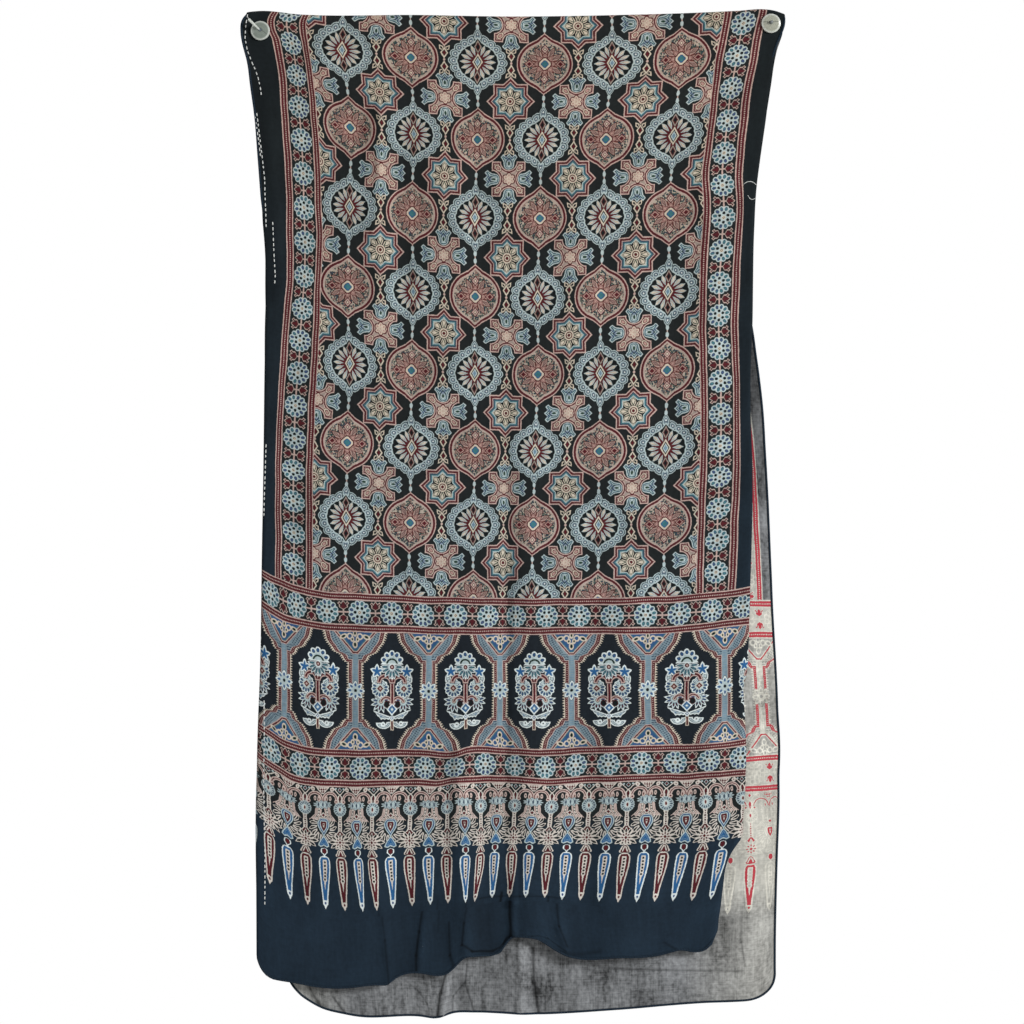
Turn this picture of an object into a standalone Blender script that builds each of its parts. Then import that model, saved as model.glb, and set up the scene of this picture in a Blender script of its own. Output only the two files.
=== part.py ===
"""An ajrakh stole, folded in half over its middle and hung flat on two clear pins.

Metres, +Z up. The origin is midway between the two pins, on the plane that the cloth hangs
against. X runs across the cloth and -Y comes forward, towards whoever looks at the print.
The cloth is one thin sheet: a back half against the wall, a pressed fold along the top, and a
front half that hangs before it. Its outline and its folds are read from the tables below.
"""

from collections import namedtuple
import math

import bmesh
import bpy
from mathutils import Vector
import numpy as np

MM = 0.001

# Cloth
CLOTH_THICKNESS = 1.2 * MM
FOLD_RADIUS = 1.5 * MM
WALL_GAP = 0.5 * MM
BACK_REST_DEPTH = -4.6 * MM
FRONT_REST_DEPTH = -15.5 * MM
DEEPEN_OVER = 0.115
COLUMNS = 35
ROWS_A_HALF = 24
TURN_STEPS = 4
NEAR_SELVEDGE = (0.0, 0.008, 0.022, 0.042)
NEAR_FOLD = (0.0, 0.008, 0.022, 0.036)
NEAR_HEM = (0.0, 0.004, 0.011, 0.022, 0.036)

# Pins
PIN_HEAD_RADIUS = 10.0 * MM
PIN_HEAD_EDGE = 1.6 * MM
PIN_HEAD_CROWN = 2.0 * MM
PIN_HUB_RADIUS = 1.9 * MM
STEM_ROOT_RADIUS = 1.0 * MM
STEM_END_RADIUS = 1.5 * MM
POINT_RADIUS = 0.6 * MM
POINT_INTO_WALL = 8.0 * MM
POINT_TIP = 2.0 * MM
POINT_INTO_HEAD = 1.2 * MM
CLEARANCE = 0.4 * MM
PIN_SEAT = 13.0 * MM
PIN_EASE = 70.0 * MM

Pin = namedtuple("Pin", "name x z stem_x stem_z stem_out")
PINS = (
    Pin("left_pin", -265.8, -3.8, -11.6, 10.4, 8.0),
    Pin("right_pin", 265.8, 3.8, 0.6, 1.4, 4.5),
)

# Outlines in millimetres. An edge runs down its side as (height, across) and the fold line
# and hems run along the cloth as (across, height).
FRONT_LEFT_EDGE = (
    (14, -278), (9, -283), (-5, -286.5), (-18, -284.5), (-34, -280), (-60, -276), (-93, -271),
    (-135, -267.5), (-181, -264), (-233, -260), (-285, -259.5), (-337, -260.5), (-389, -261),
    (-470, -262), (-555, -263.5), (-658, -265), (-741, -268), (-803, -269.5), (-938, -269),
    (-1000, -268.5),
)  # fmt: skip
FRONT_RIGHT_EDGE = (
    (16, 279), (12, 280.5), (0, 280), (-21, 273), (-62, 265), (-95, 260), (-140, 253.5),
    (-171, 249.5), (-213, 247.5), (-266, 246.5), (-306, 246), (-358, 244), (-403, 244),
    (-464, 246), (-540, 245), (-586, 243.5), (-647, 241.5), (-674, 239.5), (-686, 236.5),
    (-700, 237), (-741, 239), (-794, 238), (-820, 236), (-845, 232.5), (-853, 226.5),
    (-866, 220), (-894, 214.5), (-911, 212.5), (-932, 210), (-960, 209),
)  # fmt: skip
BACK_RIGHT_EDGE = (
    (16, 279), (0, 276), (-21, 269), (-62, 256), (-95, 249), (-140, 243), (-202, 240),
    (-266, 241.5), (-300, 244.5), (-320, 248), (-339, 250.5), (-363, 254), (-396, 258),
    (-449, 261.5), (-494, 264), (-555, 266.5), (-647, 270.5), (-713, 274), (-752, 275.5),
    (-794, 275), (-861, 273.5), (-952, 271.5), (-1014, 271.5),
)  # fmt: skip
BACK_LEFT_EDGE = (
    (14, -278), (-9, -279), (-60, -267), (-135, -259), (-233, -253), (-389, -251),
    (-596, -249), (-803, -245), (-940, -241), (-1010, -239),
)  # fmt: skip
FOLD_LINE = (
    (-286, 10), (-278, 14), (-270, 15.5), (-224, 12), (-99, 11.5), (-16, 10), (108, 11.5),
    (191, 14), (233, 16), (259, 17.5), (270, 16), (280, 12.5),
)  # fmt: skip
FRONT_HEM = (
    (-269, -964), (-266, -975), (-262, -982), (-255, -988), (-243, -991), (-230, -993),
    (-210, -997), (-187, -999), (-146, -995),
    (-131, -994), (-126, -989), (-117, -985), (-100, -983), (-82, -986), (-71, -984),
    (-64, -978), (-56, -968), (-40, -966), (-21, -965), (-14, -961), (-8, -949), (4, -946),
    (14, -946), (24, -948), (33, -954), (45, -962), (57, -967), (108, -967), (140, -966),
    (152, -964), (172, -959), (184, -961), (196, -959), (203, -953), (207, -946), (209, -935),
)  # fmt: skip
BACK_HEM = (
    (-240, -980), (-236, -992), (-227, -1005), (-214, -1015), (-203, -1021), (-183, -1027),
    (-167, -1030),
    (-99, -1030), (-81, -1032), (-68, -1027), (-44, -1026), (13, -1028), (108, -1023),
    (154, -1019), (196, -1016), (232, -1014.5), (247, -1013), (257, -1009), (265, -1002),
    (270, -993), (272, -984),
)  # fmt: skip

# Folds in millimetres: where the crest or trough is at its top and its bottom end, how far it
# stands off the sheet (+ comes forward), and its half-width across the cloth.
Fold = namedtuple("Fold", "top_x bottom_x top_z bottom_z depth half_width")
FRONT_FOLDS = (
    Fold(-262, -248, -60, -330, 3.4, 13),
    Fold(-240, -228, -250, -560, -2.6, 16),
    Fold(-196, -205, -330, -900, 2.6, 30),
    Fold(-142, -142, -70, -300, 4.6, 13),
    Fold(-150, -156, -560, -1000, 3.6, 20),
    Fold(-118, -122, -90, -330, -3.2, 16),
    Fold(-105, -112, -700, -1000, -2.6, 16),
    Fold(-66, -62, -60, -330, 2.4, 26),
    Fold(-58, -52, -690, -975, 4.8, 13),
    Fold(-40, -36, -60, -240, -4.0, 11),
    Fold(-34, -26, -700, -1000, -4.4, 15),
    Fold(-6, -8, -320, -1000, -4.6, 14),
    Fold(14, 18, -300, -1000, 3.6, 17),
    Fold(52, 58, -40, -420, 2.8, 28),
    Fold(74, 70, -640, -980, -3.2, 20),
    Fold(120, 112, -330, -980, 3.0, 34),
    Fold(160, 156, -60, -470, -2.8, 26),
    Fold(205, 190, -90, -420, 3.4, 17),
    Fold(196, 200, -640, -960, 3.0, 22),
    Fold(232, 228, -140, -800, -2.2, 14),
    Fold(236, 214, -770, -960, 3.4, 15),
)
BACK_FOLDS = (
    Fold(-205, -208, -900, -1030, 1.3, 14),
    Fold(-168, -176, -880, -1030, -1.3, 15),
    Fold(-74, -80, -930, -1030, 1.7, 10),
    Fold(-40, -46, -880, -1030, -1.4, 13),
    Fold(4, 6, -880, -1030, 1.6, 12),
    Fold(60, 70, -500, -1030, -1.0, 40),
    Fold(120, 130, -500, -1030, 1.2, 36),
    Fold(236, 240, -520, -1030, 1.5, 13),
    Fold(262, 266, -380, -1000, -1.3, 12),
)


def curve_through(table, at):
    """A smooth curve through the rows of a table, read at the given places."""
    knots, values = np.array(sorted(table), float).T
    slopes = np.gradient(values, knots)
    left = np.clip(np.searchsorted(knots, at) - 1, 0, len(knots) - 2)
    span = knots[left + 1] - knots[left]
    t = np.clip((at - knots[left]) / span, 0, 1)
    return (
        (1 + 2 * t) * (1 - t) ** 2 * values[left]
        + t * (1 - t) ** 2 * span * slopes[left]
        + t**2 * (3 - 2 * t) * values[left + 1]
        - t**2 * (1 - t) * span * slopes[left + 1]
    )


def shares(near_start, steps, near_end):
    """Shares from 0 to 1 in even steps, with close ones at each end, where corners turn."""
    middle = np.linspace(near_start[-1], 1 - near_end[-1], steps + 1)
    return np.concatenate([near_start[:-1], middle, 1 - np.array(near_end[-2::-1])])


def ease(at, start, end):
    """0 before start, 1 past end, and a smooth climb between."""
    t = np.clip((at - start) / (end - start), 0, 1)
    return t * t * (3 - 2 * t)


def folds_at(folds, x, z):
    """Each fold is a bell across the cloth that fades in and out along its length."""
    total = np.zeros_like(x)
    for fold in folds:
        length = fold.top_z - fold.bottom_z
        along = np.clip((fold.top_z - z) / length, 0, 1)
        centre = fold.top_x + (fold.bottom_x - fold.top_x) * along
        fade = ease(fold.top_z - z, -0.1 * length, 0.3 * length)
        fade = fade * (1 - ease(fold.top_z - z, 0.85 * length, 1.25 * length))
        total += fold.depth * fade * np.exp(-(((x - centre) / fold.half_width) ** 2))
    return total


def pinned(x, z):
    """0 under a pin's head, where the layers are pressed flat, and 1 away from both pins."""
    free = np.ones_like(x)
    for pin in PINS:
        reach = np.hypot(x - pin.x * MM, z - pin.z * MM)
        free = free * ease(reach, PIN_SEAT, PIN_EASE)
    return free


def half(left_edge, right_edge, hem, folds, near, rest):
    """One half of the sheet from its fold down to its hem, as a grid of middle points.

    A grid point lies where its column crosses its row: its row is a share of the way from the
    fold line to the hem, and its column a share of the way from the left edge to the right.
    """
    across = shares(NEAR_SELVEDGE, COLUMNS, NEAR_SELVEDGE)[None, :]
    down = shares(NEAR_FOLD, ROWS_A_HALF, NEAR_HEM)[:, None]
    x = np.zeros((down.size, across.size)) + (across - 0.5) * 530
    for _ in range(12):
        z = curve_through(FOLD_LINE, x) * (1 - down) + curve_through(hem, x) * down
        left = curve_through(left_edge, z)
        right = curve_through(right_edge, z)
        x = left + (right - left) * across
    below = curve_through(FOLD_LINE, x) - z
    stand_off = -folds_at(folds, x, z) * MM
    x, z, below = x * MM, z * MM, below * MM
    y = near + (rest - near + stand_off) * ease(below, 0, DEEPEN_OVER) * pinned(x, z)
    return np.stack([x, y, z], axis=-1)


def cloth_middle():
    """The whole sheet's middle: up the back, round the pressed fold and down the front."""
    near_back = -WALL_GAP - CLOTH_THICKNESS / 2
    near_front = near_back - 2 * FOLD_RADIUS
    front = half(
        FRONT_LEFT_EDGE, FRONT_RIGHT_EDGE, FRONT_HEM, FRONT_FOLDS, near_front, FRONT_REST_DEPTH
    )
    back = half(
        BACK_LEFT_EDGE, BACK_RIGHT_EDGE, BACK_HEM, BACK_FOLDS, near_back, BACK_REST_DEPTH
    )
    angles = np.linspace(0, math.pi, TURN_STEPS + 2)[1:-1]
    turn = []
    for angle in angles:
        share = (1 - math.cos(angle)) / 2
        row = back[0] * (1 - share) + front[0] * share
        row[:, 2] += FOLD_RADIUS * math.sin(angle)
        turn.append(row)
    return np.concatenate([back[::-1], np.array(turn), front])


def sheet_mesh(name, middle, thickness):
    """A closed sheet: the middle grid moved half its thickness each way along its normals."""
    along, across = np.gradient(middle, axis=0), np.gradient(middle, axis=1)
    normal = np.cross(along, across)
    normal /= np.linalg.norm(normal, axis=-1, keepdims=True)
    rows, columns = middle.shape[:2]
    one, other = middle + normal * thickness / 2, middle - normal * thickness / 2
    points = np.concatenate([one.reshape(-1, 3), other.reshape(-1, 3)])
    index = np.arange(rows * columns).reshape(rows, columns)
    a, b, c, d = (part.ravel() for part in (index[:-1, :-1], index[1:, :-1], index[1:, 1:], index[:-1, 1:]))
    faces = np.stack([a, b, c, d], axis=1)
    under = rows * columns
    rim = np.concatenate([index[0, :], index[1:, -1], index[-1, -2::-1], index[-2:0:-1, 0]])
    after = np.roll(rim, -1)
    sides = np.stack([rim, after, after + under, rim + under], axis=1)
    every = np.concatenate([faces, faces[:, ::-1] + under, sides])
    mesh = bpy.data.meshes.new(name)
    mesh.from_pydata(points.tolist(), [], every.tolist())
    shape = bmesh.new()
    shape.from_mesh(mesh)
    bmesh.ops.recalc_face_normals(shape, faces=shape.faces)
    if shape.calc_volume(signed=True) < 0:
        bmesh.ops.reverse_faces(shape, faces=shape.faces)
    shape.to_mesh(mesh)
    shape.free()
    mesh.shade_smooth()
    return mesh


def turned(profile, centre, axis, sides):
    """A closed turned shape: rings of (distance along the axis, radius) about the axis."""
    axis = Vector(axis).normalized()
    side = axis.orthogonal().normalized()
    up = axis.cross(side)
    shape = bmesh.new()
    rings = []
    for along, radius in profile:
        middle = Vector(centre) + axis * along
        ring = [
            shape.verts.new(middle + (side * math.cos(turn) + up * math.sin(turn)) * radius)
            for turn in (2 * math.pi * step / sides for step in range(sides))
        ]
        rings.append(ring)
    for first, second in zip(rings, rings[1:]):
        for step in range(sides):
            after = (step + 1) % sides
            shape.faces.new((first[step], first[after], second[after], second[step]))
    shape.faces.new(rings[0][::-1])
    shape.faces.new(rings[-1])
    bmesh.ops.recalc_face_normals(shape, faces=shape.faces)
    mesh = bpy.data.meshes.new("turned")
    shape.to_mesh(mesh)
    shape.free()
    mesh.shade_smooth()
    mesh.set_sharp_from_angle(angle=math.radians(40))
    return mesh


def material(name, colour, roughness, metallic=0.0, transmission=0.0):
    finish = bpy.data.materials.new(name)
    finish.use_nodes = True
    shader = finish.node_tree.nodes["Principled BSDF"]
    shader.inputs["Base Color"].default_value = (*colour, 1)
    shader.inputs["Roughness"].default_value = roughness
    shader.inputs["Metallic"].default_value = metallic
    shader.inputs["Transmission Weight"].default_value = transmission
    return finish


def place(name, mesh, finish=None, cutter=False):
    mesh.name = name
    thing = bpy.data.objects.new(name, mesh)
    bpy.context.scene.collection.objects.link(thing)
    if finish:
        mesh.materials.append(finish)
    if cutter:
        thing.hide_render = True
        thing.display_type = "WIRE"
    return thing


def boolean(thing, tool, operation):
    step = thing.modifiers.new(tool.name, "BOOLEAN")
    step.operation = operation
    step.object = tool


def make_pin(pin, clear, steel, cloth):
    """A clear round head with a hub and a slim stem, and the steel point that goes through."""
    forward = (0, -1, 0)
    x, z = pin.x * MM, pin.z * MM
    seat = WALL_GAP + CLOTH_THICKNESS + 2 * FOLD_RADIUS + CLEARANCE
    rim = PIN_HEAD_EDGE
    crown = rim + PIN_HEAD_CROWN
    profile = [(0, PIN_HEAD_RADIUS - 0.5 * MM), (0.4 * MM, PIN_HEAD_RADIUS), (rim, PIN_HEAD_RADIUS)]
    for step in range(1, 5):
        turn = math.radians(18 * step)
        along = rim + (PIN_HEAD_CROWN - 0.6 * MM) * math.sin(turn)
        profile.append((along, PIN_HEAD_RADIUS - (PIN_HEAD_RADIUS - PIN_HUB_RADIUS) * (1 - math.cos(turn))))
    profile += [(crown - 0.4 * MM, PIN_HUB_RADIUS), (crown, PIN_HUB_RADIUS * 0.8)]
    head = place(f"{pin.name}_head", turned(profile, (x, -seat, z), forward, 32), clear)

    lean = Vector((pin.stem_x * MM, -pin.stem_out * MM, pin.stem_z * MM))
    length = lean.length
    root = Vector((x, -seat - crown + 1.0 * MM, z))
    shaft = [(0, STEM_ROOT_RADIUS), (length - 1.2 * MM, STEM_END_RADIUS)]
    shaft += [(length - 0.4 * MM, STEM_END_RADIUS * 0.8), (length, STEM_END_RADIUS * 0.35)]
    stem = place(f"{pin.name}_stem", turned(shaft, root, lean, 12), cutter=True)
    boolean(head, stem, "UNION")

    hole = POINT_RADIUS + CLEARANCE
    socket = [(-1.0 * MM, hole), (POINT_INTO_HEAD + CLEARANCE, hole)]
    blind = place(f"{pin.name}_socket", turned(socket, (x, -seat, z), forward, 16), cutter=True)
    boolean(head, blind, "DIFFERENCE")

    reach = POINT_INTO_WALL + seat + POINT_INTO_HEAD
    needle = [(0, POINT_RADIUS * 0.15), (POINT_TIP, POINT_RADIUS), (reach, POINT_RADIUS)]
    place(f"{pin.name}_point", turned(needle, (x, POINT_INTO_WALL, z), forward, 12), steel)

    through = [(0, hole), (4 * seat, hole)]
    punch = place(f"{pin.name}_hole", turned(through, (x, seat, z), forward, 12), cutter=True)
    boolean(cloth, punch, "DIFFERENCE")


def main():
    for thing in list(bpy.data.objects):
        bpy.data.objects.remove(thing, do_unlink=True)
    dyed = material("Dyed cotton", (0.030, 0.032, 0.038), 0.9)
    clear = material("Clear plastic", (0.78, 0.82, 0.78), 0.15, transmission=0.6)
    steel = material("Pin steel", (0.60, 0.60, 0.60), 0.25, metallic=1.0)
    cloth = place("cloth", sheet_mesh("cloth", cloth_middle(), CLOTH_THICKNESS), dyed)
    for pin in PINS:
        make_pin(pin, clear, steel, cloth)


main()
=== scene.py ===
"""The looks of an ajrakh stole, folded over its middle and hung on two clear pins.

Metres, +Z up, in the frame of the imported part: the printed front faces -Y. The cloth is laid out
in steps of its print, where one step is 1.037 mm of cloth. Across it steps run from the left
selvedge to the right one. Down it they are counted from the upper edge of the first band of
roundels: minus towards the fold, plus towards the hem.
"""

import math

import bpy
import numpy as np
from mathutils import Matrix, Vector

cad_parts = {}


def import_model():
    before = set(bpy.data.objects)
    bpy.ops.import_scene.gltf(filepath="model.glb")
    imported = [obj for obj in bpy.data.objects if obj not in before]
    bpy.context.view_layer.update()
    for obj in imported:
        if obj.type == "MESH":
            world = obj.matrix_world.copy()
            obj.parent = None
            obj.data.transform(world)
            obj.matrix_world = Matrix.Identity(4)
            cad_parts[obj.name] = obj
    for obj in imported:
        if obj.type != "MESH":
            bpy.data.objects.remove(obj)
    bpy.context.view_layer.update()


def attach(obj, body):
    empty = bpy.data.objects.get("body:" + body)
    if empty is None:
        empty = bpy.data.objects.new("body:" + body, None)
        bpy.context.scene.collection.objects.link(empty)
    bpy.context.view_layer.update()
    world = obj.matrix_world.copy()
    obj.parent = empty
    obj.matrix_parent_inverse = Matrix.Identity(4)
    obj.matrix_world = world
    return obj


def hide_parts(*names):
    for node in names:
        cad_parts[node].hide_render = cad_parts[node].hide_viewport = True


MM = 0.001
STEP = 1.037 * MM
MID_ACROSS = 515.7
MID_DOWN = 25.2

# The sheet
CLOTH_WIDTH = 542.0
THICKNESS = 0.5 * MM
FOLD_RADIUS = 1.5 * MM
NEAR_BACK = -1.1 * MM
NEAR_FRONT = -4.1 * MM
BACK_REST_DEPTH = -4.6 * MM
FRONT_REST_DEPTH = -15.5 * MM
DEEPEN_OVER = 115 * MM
# How tightly each half's selvedges turn behind, in steps, and how soon they do below a pin
FRONT_ROLL, FRONT_CURL = 2.4, 3
BACK_ROLL, BACK_CURL = 1.3, 1
PIN_SEAT = 13 * MM
PIN_EASE = 70 * MM
PINS = {"left_pin": (-265.8, -3.8), "right_pin": (265.8, 3.8)}

# Where the print changes, in steps down from the first band and across from the left selvedge
FOLD_ROW = -593.0
STRIPE = 7.5
ROUNDELS = 23.0
BAND = 2 * STRIPE + ROUNDELS
PANEL_TOP = BAND
PANEL_END = 151.5
LACE_TOP = PANEL_END + BAND
DAGGERS_TOP = 258.0
DAGGERS_END = 307.0
LEFT_BORDER = (26.0, 66.0)
RIGHT_BORDER = (483.5, 523.5)
MEDALLION_ACROSS = 68.2
MEDALLION_DOWN = 78.6
FIRST_MEDALLION = (98.0, 3.0)
PANEL_REPEAT = 79.2
FIRST_COLUMN = 39.0
ROUNDEL_PITCH = 33.0
BORDER_PITCH = 32.8
BORDER_START = 20.0
BORDER_HALF_WIDTH, BAND_HALF_WIDTH = 16.25, 15.25
LEFT_MIDDLE = 46.25
RIGHT_MIDDLE = 503.25
# The plain ends below the daggers
FRONT_PLAIN_END = 72.0
BACK_PLAIN_END = 98.0
# Outlines in millimetres, as in the solid: edges as (height, across), fold line and hems as
# (across, height)
FRONT_LEFT_EDGE = (
    (14, -280.5), (9, -284.5), (-5, -286.5), (-18, -284.5), (-34, -280), (-60, -276), (-93, -271),
    (-135, -267.5), (-181, -264), (-233, -260), (-285, -259.5), (-337, -260.5), (-389, -261),
    (-470, -262), (-555, -263.5), (-658, -265), (-741, -268), (-803, -269.5), (-938, -269),
    (-1000, -268.5),
)  # fmt: skip
FRONT_RIGHT_EDGE = (
    (16, 279), (12, 280.5), (0, 280), (-21, 273), (-62, 265), (-95, 260), (-140, 253.5),
    (-171, 249.5), (-213, 247.5), (-266, 246.5), (-306, 246), (-358, 244), (-403, 244),
    (-464, 246), (-540, 245), (-586, 243.5), (-647, 241.5), (-674, 239.5), (-686, 236.5),
    (-700, 237), (-741, 239), (-794, 238), (-820, 236), (-845, 232.5), (-853, 226.5),
    (-866, 220), (-894, 214.5), (-911, 212.5), (-932, 210), (-960, 209),
)  # fmt: skip
BACK_RIGHT_EDGE = (
    (16, 279), (0, 276), (-21, 269), (-62, 256), (-95, 249), (-140, 243), (-202, 240),
    (-266, 241.5), (-300, 244.5), (-320, 248), (-339, 250.5), (-363, 254), (-396, 258),
    (-449, 261.5), (-494, 264), (-555, 266.5), (-647, 270.5), (-713, 274), (-752, 275.5),
    (-794, 275), (-861, 273.5), (-952, 271.5), (-1014, 271.5),
)  # fmt: skip
BACK_LEFT_EDGE = (
    (14, -278), (-9, -279), (-60, -267), (-135, -259), (-233, -253), (-389, -251),
    (-596, -249), (-803, -245), (-940, -241), (-1010, -239),
)  # fmt: skip
FOLD_LINE = (
    (-286, 12), (-280, 14.2), (-270, 15.5), (-224, 12), (-99, 11.5), (-16, 10), (108, 11.5),
    (191, 14), (233, 16), (259, 17.5), (270, 16), (280, 12.5),
)  # fmt: skip
FRONT_HEM = (
    (-269, -964), (-266, -975), (-262, -982), (-255, -988), (-243, -991), (-230, -993),
    (-210, -997), (-187, -999), (-146, -995),
    (-131, -994), (-126, -989), (-117, -985), (-100, -983), (-82, -986), (-71, -984),
    (-64, -978), (-56, -968), (-40, -966), (-21, -965), (-14, -961), (-8, -949), (4, -946),
    (14, -946), (24, -948), (33, -954), (45, -962), (57, -967), (108, -967), (140, -966),
    (152, -964), (172, -959), (184, -961), (196, -959), (203, -953), (207, -946), (209, -935),
)  # fmt: skip
BACK_HEM = (
    (-240, -980), (-236, -992), (-227, -1005), (-214, -1015), (-203, -1021), (-183, -1027),
    (-167, -1030),
    (-99, -1030), (-81, -1032), (-68, -1027), (-44, -1026), (13, -1028), (108, -1023),
    (154, -1019), (196, -1016), (232, -1014.5), (247, -1013), (257, -1009), (265, -1002),
    (270, -993), (272, -984),
)  # fmt: skip

# How the front hangs. Each row of the print: its step down, then (across, down) places on it.
FRONT_ROWS = (
    (-547.2, ((262, 36), (290, 39), (341.7, 48.3), (410.3, 55.8), (477.5, 60.8), (545, 63.3),
              (612.5, 62), (682.5, 57.2), (737, 52), (770, 49))),
    (-468.6, ((255, 110), (297, 117), (350.3, 127.5), (413.7, 133.8), (477.5, 139.7),
              (541.7, 140), (605.5, 139.2), (673.8, 135.8), (728, 131), (758, 128))),
    (-390, ((262, 190), (303, 198), (349.7, 206.7), (412, 213), (475, 217.5), (540, 218.3),
              (603.3, 217.2), (670.3, 213.3), (721, 209), (753, 206))),
    (-311.4, ((265, 272), (303, 280), (347.5, 286.7), (413.3, 292), (475.3, 296.7),
              (537.5, 298.3), (600.8, 295.5), (668.3, 291.7), (718, 287), (752, 284))),
    (-232.8, ((263, 350), (300, 357), (350, 363.7), (411.2, 370.5), (474.5, 373.3),
              (538.3, 374.7), (600.3, 373.3), (667.2, 369.7), (720, 365), (751, 362))),
    (-154.2, ((262, 429), (297, 436), (347.2, 442.5), (411.3, 447.5), (475.3, 450.5),
              (534.7, 451.7), (599.2, 451.2), (665.5, 448), (720, 443), (751, 440))),
    (-75.6, ((262, 502), (294, 511), (346.2, 518), (410, 522.8), (473.3, 524.7), (532.8, 524.7),
             (598.3, 525), (664.2, 523.7), (718, 518), (750, 514))),
    (3.75, ((263, 573.5), (272, 579), (280, 582.5), (290, 586.7), (300, 589.7), (310, 592.5),
            (320, 594.2), (340, 595.8), (360, 597), (400, 598.7), (440, 600.3), (640, 600.3),
            (660, 599.7), (680, 598.7), (700, 597), (720, 594.7), (740, 592), (750, 590))),
    (34.25, ((263, 604.5), (272, 611), (280, 615.8), (300, 621.7), (320, 625.5), (340, 627.5),
             (380, 628.8), (400, 629.5), (440, 630.8), (480, 631.2), (600, 630.5), (660, 630),
             (680, 628.7), (700, 627), (720, 624.7), (743, 622))),
    (94.75, ((258, 672), (284, 680), (318, 688), (355.5, 690.3), (428.8, 690.8), (500, 690),
             (571.7, 690.3), (647.8, 689.7), (700, 687.5), (725, 685.8), (747, 683))),
    (155.25, ((258, 726), (272, 735), (280, 740.7), (290, 745.2), (300, 748.4), (320, 751.8),
              (340, 752.7), (420, 752.7), (456, 753.6), (464, 750.9), (500, 750.8),
              (550, 752.3), (580, 750.5), (610, 749.3), (649, 748.2), (688, 747.3),
              (710, 746.1), (731, 744.3), (744, 742.1))),
    (185.75, ((258, 755), (267, 762.1), (280, 770.7), (290, 776.8), (300, 780), (315, 782.1),
              (340, 783.2), (418, 782.7), (440, 783.2), (450, 780.8), (480, 779.6),
              (518, 779.8), (550, 781.8), (580, 780), (610, 778.6), (649, 777.3),
              (688, 776.8), (710, 774.6), (731, 773.4), (742, 772.5))),
    (258, ((258, 824), (270, 833), (287, 845.2), (306, 852.3), (325, 855.9), (372, 857.1),
             (409, 855.5), (447, 854.1), (466, 853.8), (495, 852), (605, 852), (644, 851.4),
             (702, 850), (722, 848.2), (735, 845))),
    (307, ((258, 872), (270, 883.6), (290, 898.2), (308, 904.1), (326, 908), (393, 908),
             (412, 905.9), (448, 902.7), (466, 901.8), (492, 898.2), (510, 897), (545, 897),
             (561, 898.8), (600, 900.9), (673, 900.5), (710, 898.4), (722, 896))),
)  # fmt: skip

# The four stripes of the side borders, in steps across the cloth
STRIPES = (30.0, 62.5, 487.0, 519.5)
# Places across of those stripes on each listed row, and how much of each selvedge is turned
# behind there
FRONT_LINES = (
    # down, outer left, inner left, inner right, outer right, left turn, right turn
    (-600, 276, 306.5, 729.7, 765.5, 0, 0),
    (-583, 270.5, 302, 727.5, 762.5, 0, 0),
    (-565, 270.5, 302.5, 723.8, 758.5, 0, 2),
    (-547.2, 275, 304.5, 720.3, 756, 0, 3),
    (-508, 282, 310.5, 715, 747.5, 0, 3),
    (-468.6, 284.8, 314.5, 710.5, 742.8, 0, 4),
    (-429, 287.8, 317, 705.3, 739.3, 0, 4),
    (-390, 289.5, 318.3, 706.7, 740, 0, 5),
    (-350, 290, 319.7, 703.8, 738, 2, 6),
    (-311.4, 290, 318, 702.8, 736, 3, 6),
    (-272, 286.5, 316.5, 702.2, 735, 5, 6),
    (-232.8, 284, 314.8, 703, 736, 7, 6),
    (-193, 281, 312.3, 703.8, 737, 8, 6),
    (-154.2, 279.2, 311, 703.7, 737, 8, 6),
    (-115, 278, 309.7, 702.5, 736.5, 8, 6),
    (-75.6, 278, 309.7, 701.3, 735, 8, 6),
    (-25, 278.3, 309.7, 699.8, 733, 8, 6),
    (19, 278, 309, 699.3, 731, 8, 6),
    (94.75, 276, 304.3, 699, 730, 8, 8),
    (170, 277, 305, 696.5, 728, 8, 8),
    (258, 279.2, 309.5, 695.4, 726, 6, 14),
    (307, 281, 311, 685, 713.5, 5, 16),
    (380, 281, 312, 682, 706, 4, 14),
)  # fmt: skip

# Places across of the print's own marks on each listed row, and the step of the first one
FIELD_MARKS = (
    (-547.2, (341.7, 410.3, 477.5, 545, 612.5, 682.5)),
    (-468.6, (350.3, 413.7, 477.5, 541.7, 605.5, 673.8)),
    (-390, (349.7, 412, 475, 540, 603.3, 670.3)),
    (-311.4, (347.5, 413.3, 475.3, 537.5, 600.8, 668.3)),
    (-232.8, (350, 411.2, 474.5, 538.3, 600.3, 667.2)),
    (-154.2, (347.2, 411.3, 475.3, 534.7, 599.2, 665.5)),
    (-75.6, (346.2, 410, 473.3, 532.8, 598.3, 664.2)),
    (3, (345.3, 409.2, 473.3, 531.7, 597.8, 663.8)),
)  # fmt: skip
BAND_MARKS = (
    (19, (270.8, 295.8, 327, 359.5, 392, 423, 455.8, 488.8, 515.8, 546.2, 579.2, 612.2,
            645.8, 679.2, 712.5, 743)),
    (170, (271.3, 299.8, 329.8, 360.5, 392.3, 425.2, 454.3, 485.5, 515, 544.8, 575.7, 608.2,
             641.3, 675.2, 708.8, 740.4)),
)  # fmt: skip
PANEL_MARKS = (
    (94.75, (251, 284.2, 318, 355.5, 392, 428.8, 465.5, 500, 534, 571.7, 609, 647.8, 687, 725,
             757)),
)  # fmt: skip
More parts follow.
